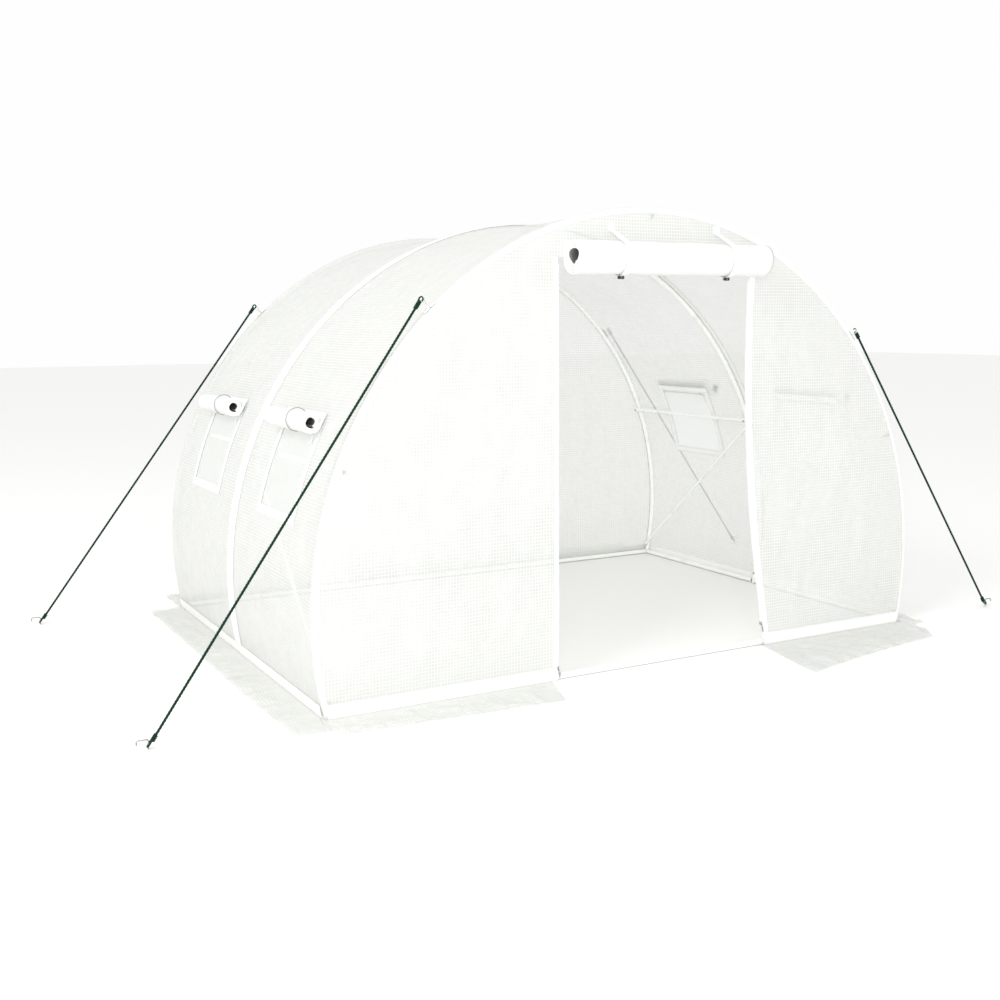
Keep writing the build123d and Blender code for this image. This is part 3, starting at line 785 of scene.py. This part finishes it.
frame_strips = []
tie_parts = []
loop_parts = []
wide_turn = np.degrees(frame_wide / belly_radius)
across_v = np.array([0.0, 0.006, frame_wide / 2, frame_wide - 0.006, frame_wide])
across_share = frame_wide / 2 - np.abs(across_v - frame_wide / 2)
side_angles = steps([sill_angle, top_angle], window_step)
net_angles = steps([sill_angle - 0.4, top_angle + 0.4], window_step)
net_tall = float(arch_run(net_angles[-1]) - arch_run(net_angles[0]))
for bay, way in (("front", -1), ("rear", 1)):
    middle = way * half_length / 2
    front, back = middle - window_half, middle + window_half
    for side, left in (("right", False), ("left", True)):
        mirror_x = np.array([-1.0 if left else 1.0, 1.0, 1.0])
        cover = [f"{bay}_bay_cover"]
        for edge_angle, outward in ((sill_angle, -1), (top_angle, 1)):
            angles = edge_angle + outward * across_v / frame_wide * wide_turn
            long_y = steps([front - frame_wide, back + frame_wide], tape_step)
            angle, y = np.meshgrid(angles, long_y, indexing="ij")
            for lift, inside in sill_lifts:
                points = on_film(angle, y, lift) * mirror_x
                turned = ((outward < 0) != left) != inside
                frame_strips.append(grid(points, (y, across_share[:, None]), turned=turned))
        for edge_y, outward in ((front, -1), (back, 1)):
            angle, y = np.meshgrid(side_angles, edge_y + outward * across_v, indexing="ij")
            for lift, inside in side_lifts:
                points = on_film(angle, y, lift) * mirror_x
                turned = ((outward < 0) != left) != inside
                frame_strips.append(grid(points, (arch_run(angle), across_share), turned=turned))

        net_y = steps([front - net_in, back + net_in], tape_step)
        angle, y = np.meshgrid(net_angles, net_y, indexing="ij")
        part = grid(on_film(angle, y, -net_under) * mirror_x, (arch_run(angle), y), turned=left)
        size = {"flat": (2 * window_half + 2 * net_in, net_tall), "held": "stretched", "rests_on": cover}
        fitted(f"{side}_{bay}_net", insect_net, [part], "window_mesh", [f"{side}_{bay}_mesh"], **size)

        low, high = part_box(f"{side}_{bay}_roll")
        roll_r = (high.z - low.z) / 2
        tied_y = low.y + (left_loop_in if left else right_loop_in)
        outer, inner = rolled(flap_bore, roll_r, flap_turns, flap_thick, flap_tail)
        points, faces, uv = carried(outer, inner, lambda section: flap_along(low, high, tied_y, section))
        faces = faces if left else [corners[:, ::-1] for corners in faces]
        flap = (points * mirror_x, faces, uv)
        flap_long = float(along_path((outer + inner) / 2)[-1])
        size = {"flat": (high.y - low.y, flap_long), "held": "folded", "rests_on": cover}
        name, roll = f"{side}_{bay}_window_flap", f"{side}_{bay}_roll"
        fitted(name, rolled_film, [flap], "rolled_film", [roll], **size)

        # The elastic loop goes round the roll's waist.
        turn = np.linspace(0, 2 * np.pi, 48, endpoint=False)[:, None]
        place = (roll_r * 0.965 + cord_r) * (np.cos(turn) * out_way + np.sin(turn) * up_way)
        loop_x = abs(low.x + high.x) / 2 - 0.003 + place[:, 0]
        path = np.stack([loop_x, np.full(48, tied_y), (low.z + high.z) / 2 + place[:, 1]], axis=-1)
        loop_parts.append(tube(path * mirror_x, cord_r, (0, 1, 0), 7, ring=True))
        # The tie tape hangs out of the seam, over the roll's back and down beside the window.
        tie_y = low.y + tie_in
        tie_s = np.linspace(0, 1, 14)[:, None]
        tie_angle = top_angle + 0.6 - np.degrees(tie_long / belly_radius) * tie_s
        off = np.linspace(-tie_wide / 2, tie_wide / 2, 5)
        swing = 0.010 * np.sin(tie_s * 2.4) + 0.004 * np.sin(tie_s * 7)
        angle, y = np.broadcast_arrays(tie_angle, tie_y + off + swing)
        points = on_film(angle, y, 0.003)
        points[..., 0] += 0.006 * np.sin(tie_s * 3.1)
        uv = (arch_run(angle), tie_wide / 2 - np.abs(off))
        tie_parts.append(grid(points * mirror_x, uv, turned=not left))

window_tall = float(np.ptp(arch_run(np.array([sill_angle, top_angle]))))
frame_run = 8 * (2 * (2 * window_half + 2 * frame_wide) + 2 * window_tall)
tape("window_frame_tapes", frame_strips, frame_wide, frame_run, "stretched", ["front_bay_cover"])
tape("window_tie_tapes", tie_parts, 4 * tie_wide, tie_long, "hung", ["window_frame_tapes"])
fitted("window_elastic_loops", elastic_cord, loop_parts, "dark_plastic")

# Rolled door: the doorway's film, rolled up on itself from the ground to the door's head and
# held against the wall by two straps. Its tail runs up behind the roll to the top panel.
door_bore = 0.028
door_turns = 5.4
door_thick = 0.0056
door_tail = 0.070
strap_places = (-0.215, 0.340)

door_low, door_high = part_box("door_roll")
door_r = (door_high.z - door_low.z) / 2
door_y, door_z = (door_low.y + door_high.y) / 2, (door_low.z + door_high.z) / 2


def along_door(section):
    """The door's section at each x: pulled in at the straps, a little full between them, and
    with the layers slipped a few millimetres along each other at both ends."""
    x = steps([door_low.x, door_high.x], 0.014)[:, None]
    out, up = section[:, 0], section[:, 1]
    turn = np.arctan2(up, out)
    free = np.min([np.abs(x - place) for place in strap_places], axis=0)
    full = 1 + 0.022 * (1 - np.exp(-((free / 0.07) ** 2)))
    uneven = 1 - 0.028 * (0.5 + 0.5 * waves(x, turn * 0.09, 0.55, 41))
    scale = np.where(up > door_r, 1.0, full * uneven)
    end = np.clip(1 - np.minimum(x - door_low.x, door_high.x - x) / 0.02, 0, 1)
    ragged = 0.005 * end * np.sin(2 * turn + 90 * np.hypot(out, up)) * np.where(x < 0, -1, 1)
    return np.stack([x + ragged, door_y - scale * out + (1 - scale) * door_r, door_z + scale * up], axis=-1)


outer, inner = rolled(door_bore, door_r, door_turns, door_thick, door_tail)
fitted(
    "rolled_up_door",
    rolled_film,
    [carried(outer, inner, along_door)],
    "rolled_film",
    ["door_roll"],
    flat=(door_high.x - door_low.x, float(along_path((outer + inner) / 2)[-1])),
    held="folded",
    rests_on=["door_strap_tapes", "front_top_film"],
)

# Door straps: two lengths of white webbing, sewn to the wall above the roll, that run down its
# front and under it. Each ends in a wire ring with a toggle through it, a barrel of moulded black
# nylon that is slightly rough from the mould and lies along the roll.
strap_wide = 0.032
strap_patch = 0.030
strap_top_gap = 0.002
strap_off_wall = 0.0026
strap_clear = 0.0012
plastic_black = "#232524"
spark_size = 0.002
toggle_half = 0.015
toggle_shares = [0, 0.03, 0.12, 0.36, 0.42, 0.5, 0.58, 0.64, 0.88, 0.97, 1]
toggle_radii = np.array([0.5, 0.8, 1, 1, 0.78, 0.72, 0.78, 1, 1, 0.8, 0.5])
ring_deep = 0.0075
ring_tall = 0.0085
ring_wire = 0.0014

strap_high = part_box("door_straps")[1]
strap_in = door_r + strap_clear
strap_rise = strap_high.z - strap_top_gap - door_z
strap_root = -wall_face - strap_off_wall - door_y
touch = math.atan2(strap_rise, strap_root) + math.acos(strap_in / math.hypot(strap_in, strap_rise))
strap_turn = np.linspace(touch, 2 * math.pi - 0.05, 60)
round_roll = strap_in * np.stack([np.cos(strap_turn), np.sin(strap_turn)], axis=-1)
lead = np.linspace(0, 1, 12)[:-1, None]
lead_in = np.array([strap_root, strap_rise]) * (1 - lead) + round_roll[0] * lead
patch_up = np.linspace(strap_patch, 0, 5)[:-1, None] * np.array([0, 1.0])
patch = np.array([strap_root, strap_rise]) + patch_up
strap_path = np.concatenate([patch, lead_in, round_roll])
strap_runs = along_path(strap_path)[:, None]
strap_x = np.array([-1, -0.66, 0, 0.66, 1]) * strap_wide / 2
parts = []
for place in strap_places:
    twist = 0.0015 * np.sin(strap_runs * 60) * strap_x / strap_wide
    x = place + strap_x + 0.001 * np.sin(strap_runs * 25)
    strap_lines = (x, door_y + strap_path[:, :1], door_z + strap_path[:, 1:] + twist)
    points = np.stack(np.broadcast_arrays(*strap_lines), axis=-1)
    parts.append(grid(points, (strap_runs, strap_wide / 2 - np.abs(strap_x)), turned=True))
strap_long = float(strap_runs[-1, 0])
tape("door_strap_tapes", parts, 2 * strap_wide, strap_long, "stretched", ["front_arch"], ["door_straps"])

moulded_nylon = new_material("moulded_nylon")
# The mould's sparked finish is 0.2 mm, drawn as 2 mm so that it shows.
spark_look = {"Vector": add(moulded_nylon, "TexCoord")["Object"], "Scale": 1 / spark_size, "Detail": 3.0}
sparks = add(moulded_nylon, "TexNoise", spark_look)[0]
sparked = add(moulded_nylon, "Bump", {"Height": sparks, "Strength": 0.5, "Distance": 0.0003})[0]
nylon_look = {"Base Color": linear(plastic_black), "Roughness": 0.45, "IOR": 1.53, "Normal": sparked}
show(moulded_nylon, add(moulded_nylon, "BsdfPrincipled", nylon_look))


def bar_between(start, end, shares, radii, across, sides=20):
    """A part turned round a straight axis: at each share of the way from start to end it has
    its own radius."""
    path = np.array(start) + (np.array(end) - np.array(start)) * np.array(shares)[:, None]
    return tube(path, np.array(radii), np.array(across), sides)


toggle_low, toggle_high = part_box("door_toggles")
toggle_r = (toggle_high.z - toggle_low.z) / 2
toggle_y = (toggle_high.y + toggle_low.y) / 2
toggle_z = (toggle_high.z + toggle_low.z) / 2
toggle_parts = []
ring_parts = []
turn = np.linspace(0, 2 * np.pi, 40, endpoint=False)
for place in strap_places:
    start, end = (place - toggle_half, toggle_y, toggle_z), (place + toggle_half, toggle_y, toggle_z)
    toggle_parts.append(bar_between(start, end, toggle_shares, toggle_radii * toggle_r, (0, 1, 0), 24))
    ring_y = toggle_y + ring_deep * np.cos(turn)
    ring_z = toggle_z + 0.003 + ring_tall * np.sin(turn)
    ring = np.stack([np.full(40, place), ring_y, ring_z], axis=-1)
    ring_parts.append(tube(ring, ring_wire, (1, 0, 0), 8, ring=True))
fitted("door_toggle_barrels", moulded_nylon, toggle_parts, "dark_plastic", ["door_toggles"])

# Steel fittings: zinc-plated wire rings on the straps, pan-head bolts through every purlin and
# brace joint, and the pegs, which are bent from galvanised wire and kept as packed.
zinc_grey = "#b4b8b8"
zinc_dull = "#8f9596"
grain_size = 0.005
bolt_head_r = 0.0062
bolt_shares = [0, 0.3, 0.7, 0.9, 1]
bolt_radii = np.array([1, 1, 0.86, 0.55, 0.2]) * bolt_head_r
bolt_rise = 0.0045
bolt_sunk = 0.0006
foot_bolt_z = 0.055

zinc_steel = new_material("zinc_plated_steel")
# The zinc's grains are about 5 mm across.
grain_place = {"Vector": add(zinc_steel, "TexCoord")["Object"], "Scale": 1 / grain_size}
grains = add(zinc_steel, "TexVoronoi", grain_place)["Color"]
grain_share = add(zinc_steel, "SeparateColor", {0: grains})[0]
zinc_mix = {0: grain_share, 6: linear(zinc_grey), 7: linear(zinc_dull)}
zinc_colour = add(zinc_steel, "Mix", zinc_mix, data_type="RGBA")[2]
zinc_rough = add(zinc_steel, "MapRange", {"Value": grain_share, "To Min": 0.34, "To Max": 0.5})[0]
zinc_look = {"Base Color": zinc_colour, "Metallic": 1.0, "Roughness": zinc_rough}
show(zinc_steel, add(zinc_steel, "BsdfPrincipled", zinc_look))
fitted("door_strap_rings", zinc_steel, ring_parts, "peg_wire")
for name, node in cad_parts.items():
    if name.startswith("peg_"):
        node.data.materials.clear()
        node.data.materials.append(zinc_steel)


def bolt(base, tip):
    """A pan head, turned round the line from its seat on the tube to its rounded top."""
    return bar_between(base, tip, bolt_shares, bolt_radii, (0, 1, 0), 16)


purlin_low, purlin_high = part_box("right_purlin")
ridge_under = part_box("ridge_purlin")[0].z
purlin_middle = np.array([(purlin_low.x + purlin_high.x) / 2, (purlin_low.z + purlin_high.z) / 2])
purlin_r = (purlin_high.z - purlin_low.z) / 2
turn = math.atan2(purlin_middle[1] - belly_height, purlin_middle[0] - belly_x)
inward = -np.array([math.cos(turn), math.sin(turn)])
foot_in = float(arch_point(arch_angle(foot_bolt_z), -tube_r)[0])
parts = []
for y in (-half_length, 0.0, half_length):
    base = purlin_middle + inward * (purlin_r - bolt_sunk)
    tip = purlin_middle + inward * (purlin_r + bolt_rise)
    foot_base, foot_tip = foot_in + bolt_sunk, foot_in - bolt_rise
    parts += [bolt((sign * base[0], y, base[1]), (sign * tip[0], y, tip[1])) for sign in (-1, 1)]
    parts.append(bolt((0, y, ridge_under + bolt_sunk), (0, y, ridge_under - bolt_rise)))
    for sign in (-1, 1):
        parts.append(bolt((sign * foot_base, y, foot_bolt_z), (sign * foot_tip, y, foot_bolt_z)))
fitted("joint_bolts", zinc_steel, parts, "peg_wire")

# Door zips: on each edge of the doorway a nylon coil is sewn to a narrow woven tape, from just
# above the ground to the rolled door. Its slider rests near the foot, with a pull tab.
zip_white = "#f4f5f3"
zip_shadow = "#e2e4e1"
coil_gap = 0.005
coil_half = 0.0030
coil_deep = 0.0013
coil_r = 0.0009
coil_in = 0.0035
coil_lift = 0.0010
coil_points = 9
zip_foot = 0.030
zip_head = 1.735
zip_tape = 0.013
zip_sewn = 0.010
zip_lift = 0.0026
slider_left_z = 0.052
slider_right_z = 0.105
slider_half = 0.008
slider_shares = [0, 0.08, 0.3, 0.7, 0.92, 1]
slider_radii = [0.003, 0.0048, 0.0058, 0.0064, 0.0052, 0.003]

zip_nylon = new_material("zip_nylon")
zip_look = {"Vector": add(zip_nylon, "TexCoord")["UV"], "Scale": 400.0, "Detail": 2.0}
zip_mix = {0: add(zip_nylon, "TexNoise", zip_look)[0], 6: linear(zip_white), 7: linear(zip_shadow)}
zip_shade = add(zip_nylon, "Mix", zip_mix, data_type="RGBA")[2]
show(zip_nylon, add(zip_nylon, "BsdfPrincipled", {"Base Color": zip_shade, "Roughness": 0.4}))

# The coil is 1.5 mm from turn to turn in the real zip, drawn as 5 mm so that it shows.
coil_turns = (zip_head - zip_foot) / coil_gap
coil_turn = np.linspace(0, coil_turns, int(coil_turns * coil_points))
coil_z = zip_foot + coil_turn * coil_gap
coil_swing = coil_half * np.cos(coil_turn * 2 * np.pi)
coil_out = coil_deep * np.sin(coil_turn * 2 * np.pi)
zip_z = steps([zip_foot, zip_head], tape_step)
coil_parts = []
slider_parts = []
tab_parts = []
zip_tape_parts = []
for into, edge_line, height in ((1, left_edge, slider_left_z), (-1, right_edge, slider_right_z)):
    edge = edge_line(coil_z)
    coil_y = on_wall(edge, coil_z, -1, coil_lift)[:, 1] - coil_out
    path = np.stack([edge + into * coil_in + coil_swing, coil_y, coil_z], axis=-1)
    coil_parts.append(tube(path, coil_r, (0, 0, 1), 5))
    near = edge_line(zip_z) - into * zip_sewn
    far = edge_line(zip_z) + into * (zip_tape - zip_sewn)
    left, right = np.minimum(near, far), np.maximum(near, far)
    zip_tape_parts.append(wall_sheet(left, right, zip_z, -1, zip_lift, True, 0.004))
    spot = np.array([float(edge_line(np.array([height]))[0]) + into * coil_in, -wall_face, height])
    start, end = spot - [0, 0, slider_half], spot + [0, 0, slider_half]
    slider_parts.append(bar_between(start, end, slider_shares, slider_radii, (1, 0, 0), 14))
    tab_s = np.linspace(0, 1, 10)
    tab_y = spot[1] - 0.0062 - 0.006 * np.sin(tab_s * 2.6)
    tab_path = np.stack([spot[0] + 0.004 * tab_s, tab_y, spot[2] - 0.004 - 0.034 * tab_s], axis=-1)
    tab_parts.append(tube(tab_path, 0.0024 + 0.0012 * np.sin(tab_s * math.pi), (1, 0, 0), 10))
fitted("zip_coils", zip_nylon, coil_parts, "zip_chain", ["door_zips"])
tape("zip_tapes", zip_tape_parts, 2 * zip_tape, zip_head - zip_foot, "hung", ["doorway_hems"])
fitted("zip_sliders", zinc_steel, slider_parts + tab_parts, "zip_chain")

# Skirts: flaps of the same film, sewn to the foot of every wall and laid flat on the ground to
# be weighed down or buried. A lip turns up the wall, and loose folds run out to the free edge.
skirt_step = 0.0125
skirt_lip = np.array([0.018, 0.009, 0.003])
skirt_lift = 0.0012
skirt_fold = 0.011
corner_x = 1.531
side_inner = 1.5163
side_outer = 1.691
left_flap_inner = -0.510
left_flap_edge = [(-corner_x, -1.2648), (-0.590, -1.3148)]
right_flap_inner = 0.630
right_flap_edge = np.array([[0.530, -1.5228], [1.440, -1.3528], [corner_x, -1.2298]])
right_flap_bow = np.array([0.012, 0.022])
rear_edge_y = 1.3648
rear_edge_bow = 0.158
# Places along the tunnel where the side flaps start beside the middle foot and where they bend.
side_starts = (-0.0853, -0.0847)
side_bends = (-0.525, -1.0648, 1.0148, 1.0648)
side_slope = (1.055, 1.070)
tab_inner = 1.5335
left_tab_corner = (-1.1948, 1.676)
right_tab_corner = (-1.1398, 1.6163)
rear_end_step = 0.006
side_step = 0.0145


def skirt(name, inner_line, outer_line, outward, held_by, seed):
    """A sheet between an inner line at the wall's foot and an outer line on the ground, both
    n x 2. Rows run outwards, and each row is as far from the inner line as its share says.
    Folds rise from the ground by the crease height times the share's root."""
    widths = np.linalg.norm(outer_line - inner_line, axis=1)
    reach = float(np.max(widths))
    share = np.linspace(0, 1, max(4, math.ceil(reach / skirt_step)))[:, None]
    ground = inner_line + (outer_line - inner_line) * share[..., None]
    folds = 0.55 * creases(ground[..., 0], ground[..., 1], 0.42, seed)
    folds = folds + 0.45 * waves(ground[..., 0], ground[..., 1], 0.11, seed + 1)
    rise = skirt_fold * np.clip(0.35 + folds, 0, None) * np.sqrt(share) * np.clip(reach / 0.2, 0.5, 1)
    flat_part = np.concatenate([ground, skirt_lift + rise[..., None]], axis=-1)
    lip_line = inner_line + np.array(outward) * skirt_lift
    lip_part = np.stack([np.column_stack([lip_line, np.full(len(lip_line), z)]) for z in skirt_lip])
    points = np.concatenate([lip_part, flat_part])
    uv = points[..., :2].copy()
    uv[:3] += np.array(outward) * -skirt_lip[:, None, None]
    across_it = np.cross(points[3, 1] - points[3, 0], points[-1, 0] - points[3, 0])[2]
    along = np.linalg.norm(np.diff(inner_line + outer_line, axis=0) / 2, axis=1)
    area = float(np.sum(between_lines(widths) * along)) + skirt_lip[0] * float(np.sum(along))
    narrow, wide = np.sort(np.ptp(np.concatenate([inner_line, outer_line]), axis=0))
    flat = (float(wide), float(narrow + skirt_lip[0]))
    size = {"flat": flat, "held": "laid", "rests_on": [held_by], "area": min(area, flat[0] * flat[1])}
    part = grid(points, uv, turned=across_it < 0)
    fitted(f"{name}_film", cover_film, [part], "cover_film", [name], **size)


def line_through(corners, count):
    """Points at even distances along the straight lines through these corners."""
    corners = np.array(corners)
    run = along_path(corners)
    at = np.linspace(0, run[-1], count)
    return np.stack([np.interp(at, run, corners[:, 0]), np.interp(at, run, corners[:, 1])], axis=-1)


front_y = -wall_face - skirt_lift
inner_line = line_through([(-corner_x, front_y), (left_flap_inner, front_y)], 84)
skirt("front_left_skirt", inner_line, line_through(left_flap_edge, 84), (0, -1), "front_base_rail", 51)

bow_turn = np.linspace(0, 1, 24)[:, None]
bow = right_flap_edge[:1] * (1 - bow_turn) + right_flap_edge[1:2] * bow_turn
bow = bow + 4 * bow_turn * (1 - bow_turn) * right_flap_bow
inner_line = line_through([(right_flap_inner, front_y), (corner_x, front_y)], 76)
outer_line = line_through([*bow, right_flap_edge[2]], 76)
skirt("front_right_skirt", inner_line, outer_line, (0, -1), "front_base_rail", 53)

bow_turn = np.linspace(-1, 1, 40)[:, None]
bow = np.concatenate([corner_x * bow_turn, rear_edge_y + rear_edge_bow * (1 - bow_turn**2)], axis=1)
inner_line = line_through([(-corner_x, -front_y), (corner_x, -front_y)], 220)
skirt("rear_skirt", inner_line, line_through(bow, 220), (0, 1), "rear_base_rail", 55)

for side, sign, (tab_end, tab_x) in (("left", -1, left_tab_corner), ("right", 1, right_tab_corner)):
    y = steps([side_starts[0], *side_bends[:2], tab_end], side_step)
    inner_x = np.interp(-y, [0, *side_slope, 2], [side_inner, side_inner, tab_inner, tab_inner])
    outer_x = np.interp(-y, [0, -side_bends[0], -tab_end], [side_outer, side_outer, tab_x])
    lines = (np.stack([sign * x, y], axis=-1) for x in (inner_x, outer_x))
    skirt(f"{side}_front_skirt", *lines, (sign, 0), f"{side}_base_rail", 57 + sign)
    y = steps([side_starts[1], *side_bends[2:]], side_step)
    inner_x = np.full(y.shape, side_inner)
    outer_x = np.interp(y, [0, *side_bends[2:]], [side_outer, side_outer, side_inner + rear_end_step])
    lines = (np.stack([sign * x, y], axis=-1) for x in (inner_x, outer_x))
    skirt(f"{side}_rear_skirt", *lines, (sign, 0), f"{side}_base_rail", 61 + sign)

# Guy ropes: dark green polypropylene, laid from three strands. Each is whipped to an eye at the
# webbing loop on the cover and to another eye round its peg, and is pulled tight between them.
rope_green = "#063a23"
# The darker green is painted shade for the grooves between the fibre bands.
rope_groove_shade = "#032014"
lay_length = 0.042
strand_r = 0.0029
strand_out = 0.0028
fibre_gap = 0.0030
whip_gap = 0.0062
whip_r = 0.0030
whip_top = 0.034
whip_foot = 0.026
top_eye_half = (0.0115, 0.0080)
foot_eye_half = (0.0150, 0.0072)
top_eye_r = 0.0034
foot_eye_r = 0.0036
loop_wide = 0.024
loop_r = 0.0085
patch_low = 0.006
patch_high = 0.030
peg_out = {"front": 2.170, "rear": 2.230}
# Degrees up the arch and metres out from the film at which each side's ropes end, and how far
# inside that end the middle of the eye is.
rope_marks = {"left": (46.5, 0.0648), "right": (40.4, 0.0498)}
eye_in = 0.0148

laid_rope = new_material("laid_polypropylene_rope")
rope_parts = add(laid_rope, "SeparateXYZ", {0: add(laid_rope, "TexCoord")["UV"]})
# The fibres are under 0.1 mm thick, drawn as 3 mm bands that lean round each strand. The dark side of each
# band, where the bump sinks, is painted shade.
rope_lean = add(laid_rope, "Math", {0: rope_parts[1], 1: 0.8, 2: rope_parts[0]}, operation="MULTIPLY_ADD")
rope_turn = {0: rope_lean[0], 1: 2 * math.pi / fibre_gap}
rope_phase = add(laid_rope, "Math", rope_turn, operation="MULTIPLY")[0]
rope_fibres = add(laid_rope, "Math", {0: rope_phase}, operation="SINE")[0]
rope_share = add(laid_rope, "MapRange", {"Value": rope_fibres, "From Min": -1.0, "From Max": 1.0})[0]
rope_mix = {0: rope_share, 6: linear(rope_groove_shade), 7: linear(rope_green)}
rope_look = {
    "Base Color": add(laid_rope, "Mix", rope_mix, data_type="RGBA")[2],
    "Roughness": 0.6,
    "IOR": 1.49,
    "Specular IOR Level": 0.2,
    "Normal": add(laid_rope, "Bump", {"Height": rope_share, "Strength": 0.4, "Distance": 0.0004})[0],
}
show(laid_rope, add(laid_rope, "BsdfPrincipled", rope_look))


def helix(start, end, reach, lay, phase, side, count):
    """Points of a screw line from start to end: the straight way, plus reach times the cosine
    and sine of a turn that grows by a full turn for each lay length."""
    way = end - start
    long = float(np.linalg.norm(way))
    second = np.cross(way / long, side)
    share = np.linspace(0, 1, count)[:, None]
    turn = share * long / lay * 2 * np.pi + phase
    return start + way * share + reach * (np.cos(turn) * side + np.sin(turn) * second)


tab_parts = []
plane_side = np.array([0.0, 1.0, 0.0])
for end, y in (("front", -half_length), ("rear", half_length)):
    for side, sign in (("right", 1.0), ("left", -1.0)):
        angle, out = rope_marks[side]
        low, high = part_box(f"guy_rope_{end}_{side}")
        whip_out = (high.y - low.y) / 2 + 0.0012
        top_x, top_z = arch_point(np.array(angle), film_out + 0.001 + out - eye_in)
        top = np.array([float(top_x), y, float(top_z)])
        foot = np.array([peg_out[end] - 0.006, y, 0.016])
        fall = (foot - top) / np.linalg.norm(foot - top)
        mirror_x = np.array([sign, 1.0, 1.0])
        start, stop = top + fall * 0.010, foot - fall * 0.012
        count = int(np.linalg.norm(stop - start) / lay_length * 10)
        strands = []
        for phase in (0.0, 2 * np.pi / 3, 4 * np.pi / 3):
            path = helix(start, stop, strand_out, lay_length, phase, plane_side, count)
            strands.append(tube(path * mirror_x, strand_r, (0, 1, 0), 6))
        # Whipping: the rope's end is wound back round itself below each eye.
        for base, reach_on, wound in ((start, fall, whip_top), (stop, -fall, whip_foot)):
            near, far = base + reach_on * 0.002, base + reach_on * wound
            path = helix(near, far, whip_out, whip_gap, 0.0, plane_side, int(wound / whip_gap * 14))
            strands.append(tube(path * mirror_x, whip_r, fall * mirror_x, 7))
        turn = np.linspace(0, 2 * np.pi, 28, endpoint=False)[:, None]
        eye_side = np.cross(fall, plane_side)
        long, wide = top_eye_half
        top_eye = top + fall * 0.003 + long * np.cos(turn) * fall + wide * np.sin(turn) * eye_side
        strands.append(tube(top_eye * mirror_x, top_eye_r, (0, 1, 0), 8, ring=True))
        eye_middle = np.array([peg_out[end], y, 0.014]) - fall * 0.0085
        long, wide = foot_eye_half
        foot_eye = eye_middle + long * np.cos(turn) * fall + wide * np.sin(turn) * plane_side
        strands.append(tube(foot_eye * mirror_x, foot_eye_r, eye_side * mirror_x, 8, ring=True))
        fitted(f"{end}_{side}_rope", laid_rope, strands, "green_rope", [f"guy_rope_{end}_{side}"])

        # The loop is one length of webbing: a patch on the cover, out, round the eye and back.
        normal = np.array([math.cos(math.radians(angle)), math.sin(math.radians(angle))])
        climb = np.array([-normal[1], normal[0]])
        root = np.array([float(v) for v in arch_point(np.array(angle), film_out + 0.0022)])
        eye_out = float((top[[0, 2]] - root) @ normal) - 0.006
        turn = np.linspace(-1, 1, 15)[:, None] * np.radians(115)
        bend = (eye_out + loop_r * 0.2) * normal + loop_r * (np.cos(turn) * normal + np.sin(turn) * climb)
        leg = np.linspace(0, 1, 8)[:, None]
        lower = (normal * 0.001 - climb * 0.0012) * (1 - leg[:-1]) + bend[0] * leg[:-1]
        upper = bend[-1] * (1 - leg[1:]) + (normal * 0.001 + climb * 0.0012) * leg[1:]
        flat_up = climb * np.linspace(patch_low, patch_high, 5)[:, None]
        path = root + np.concatenate([-flat_up[::-1], lower, bend, upper, flat_up])
        across_y = np.array([-1, -0.6, 0, 0.6, 1]) * loop_wide / 2
        run = along_path(path)
        points = np.stack(np.broadcast_arrays(path[:, :1], y + across_y, path[:, 1:]), axis=-1)
        uv = (run[:, None], loop_wide / 2 - np.abs(across_y))
        tab_parts.append(grid(points * mirror_x, uv, turned=sign > 0))
loop_rest = ["front_bay_cover"]
tape("rope_loops", tab_parts, 4 * loop_wide, float(run[-1]), "stretched", loop_rest, ["rope_tabs"])
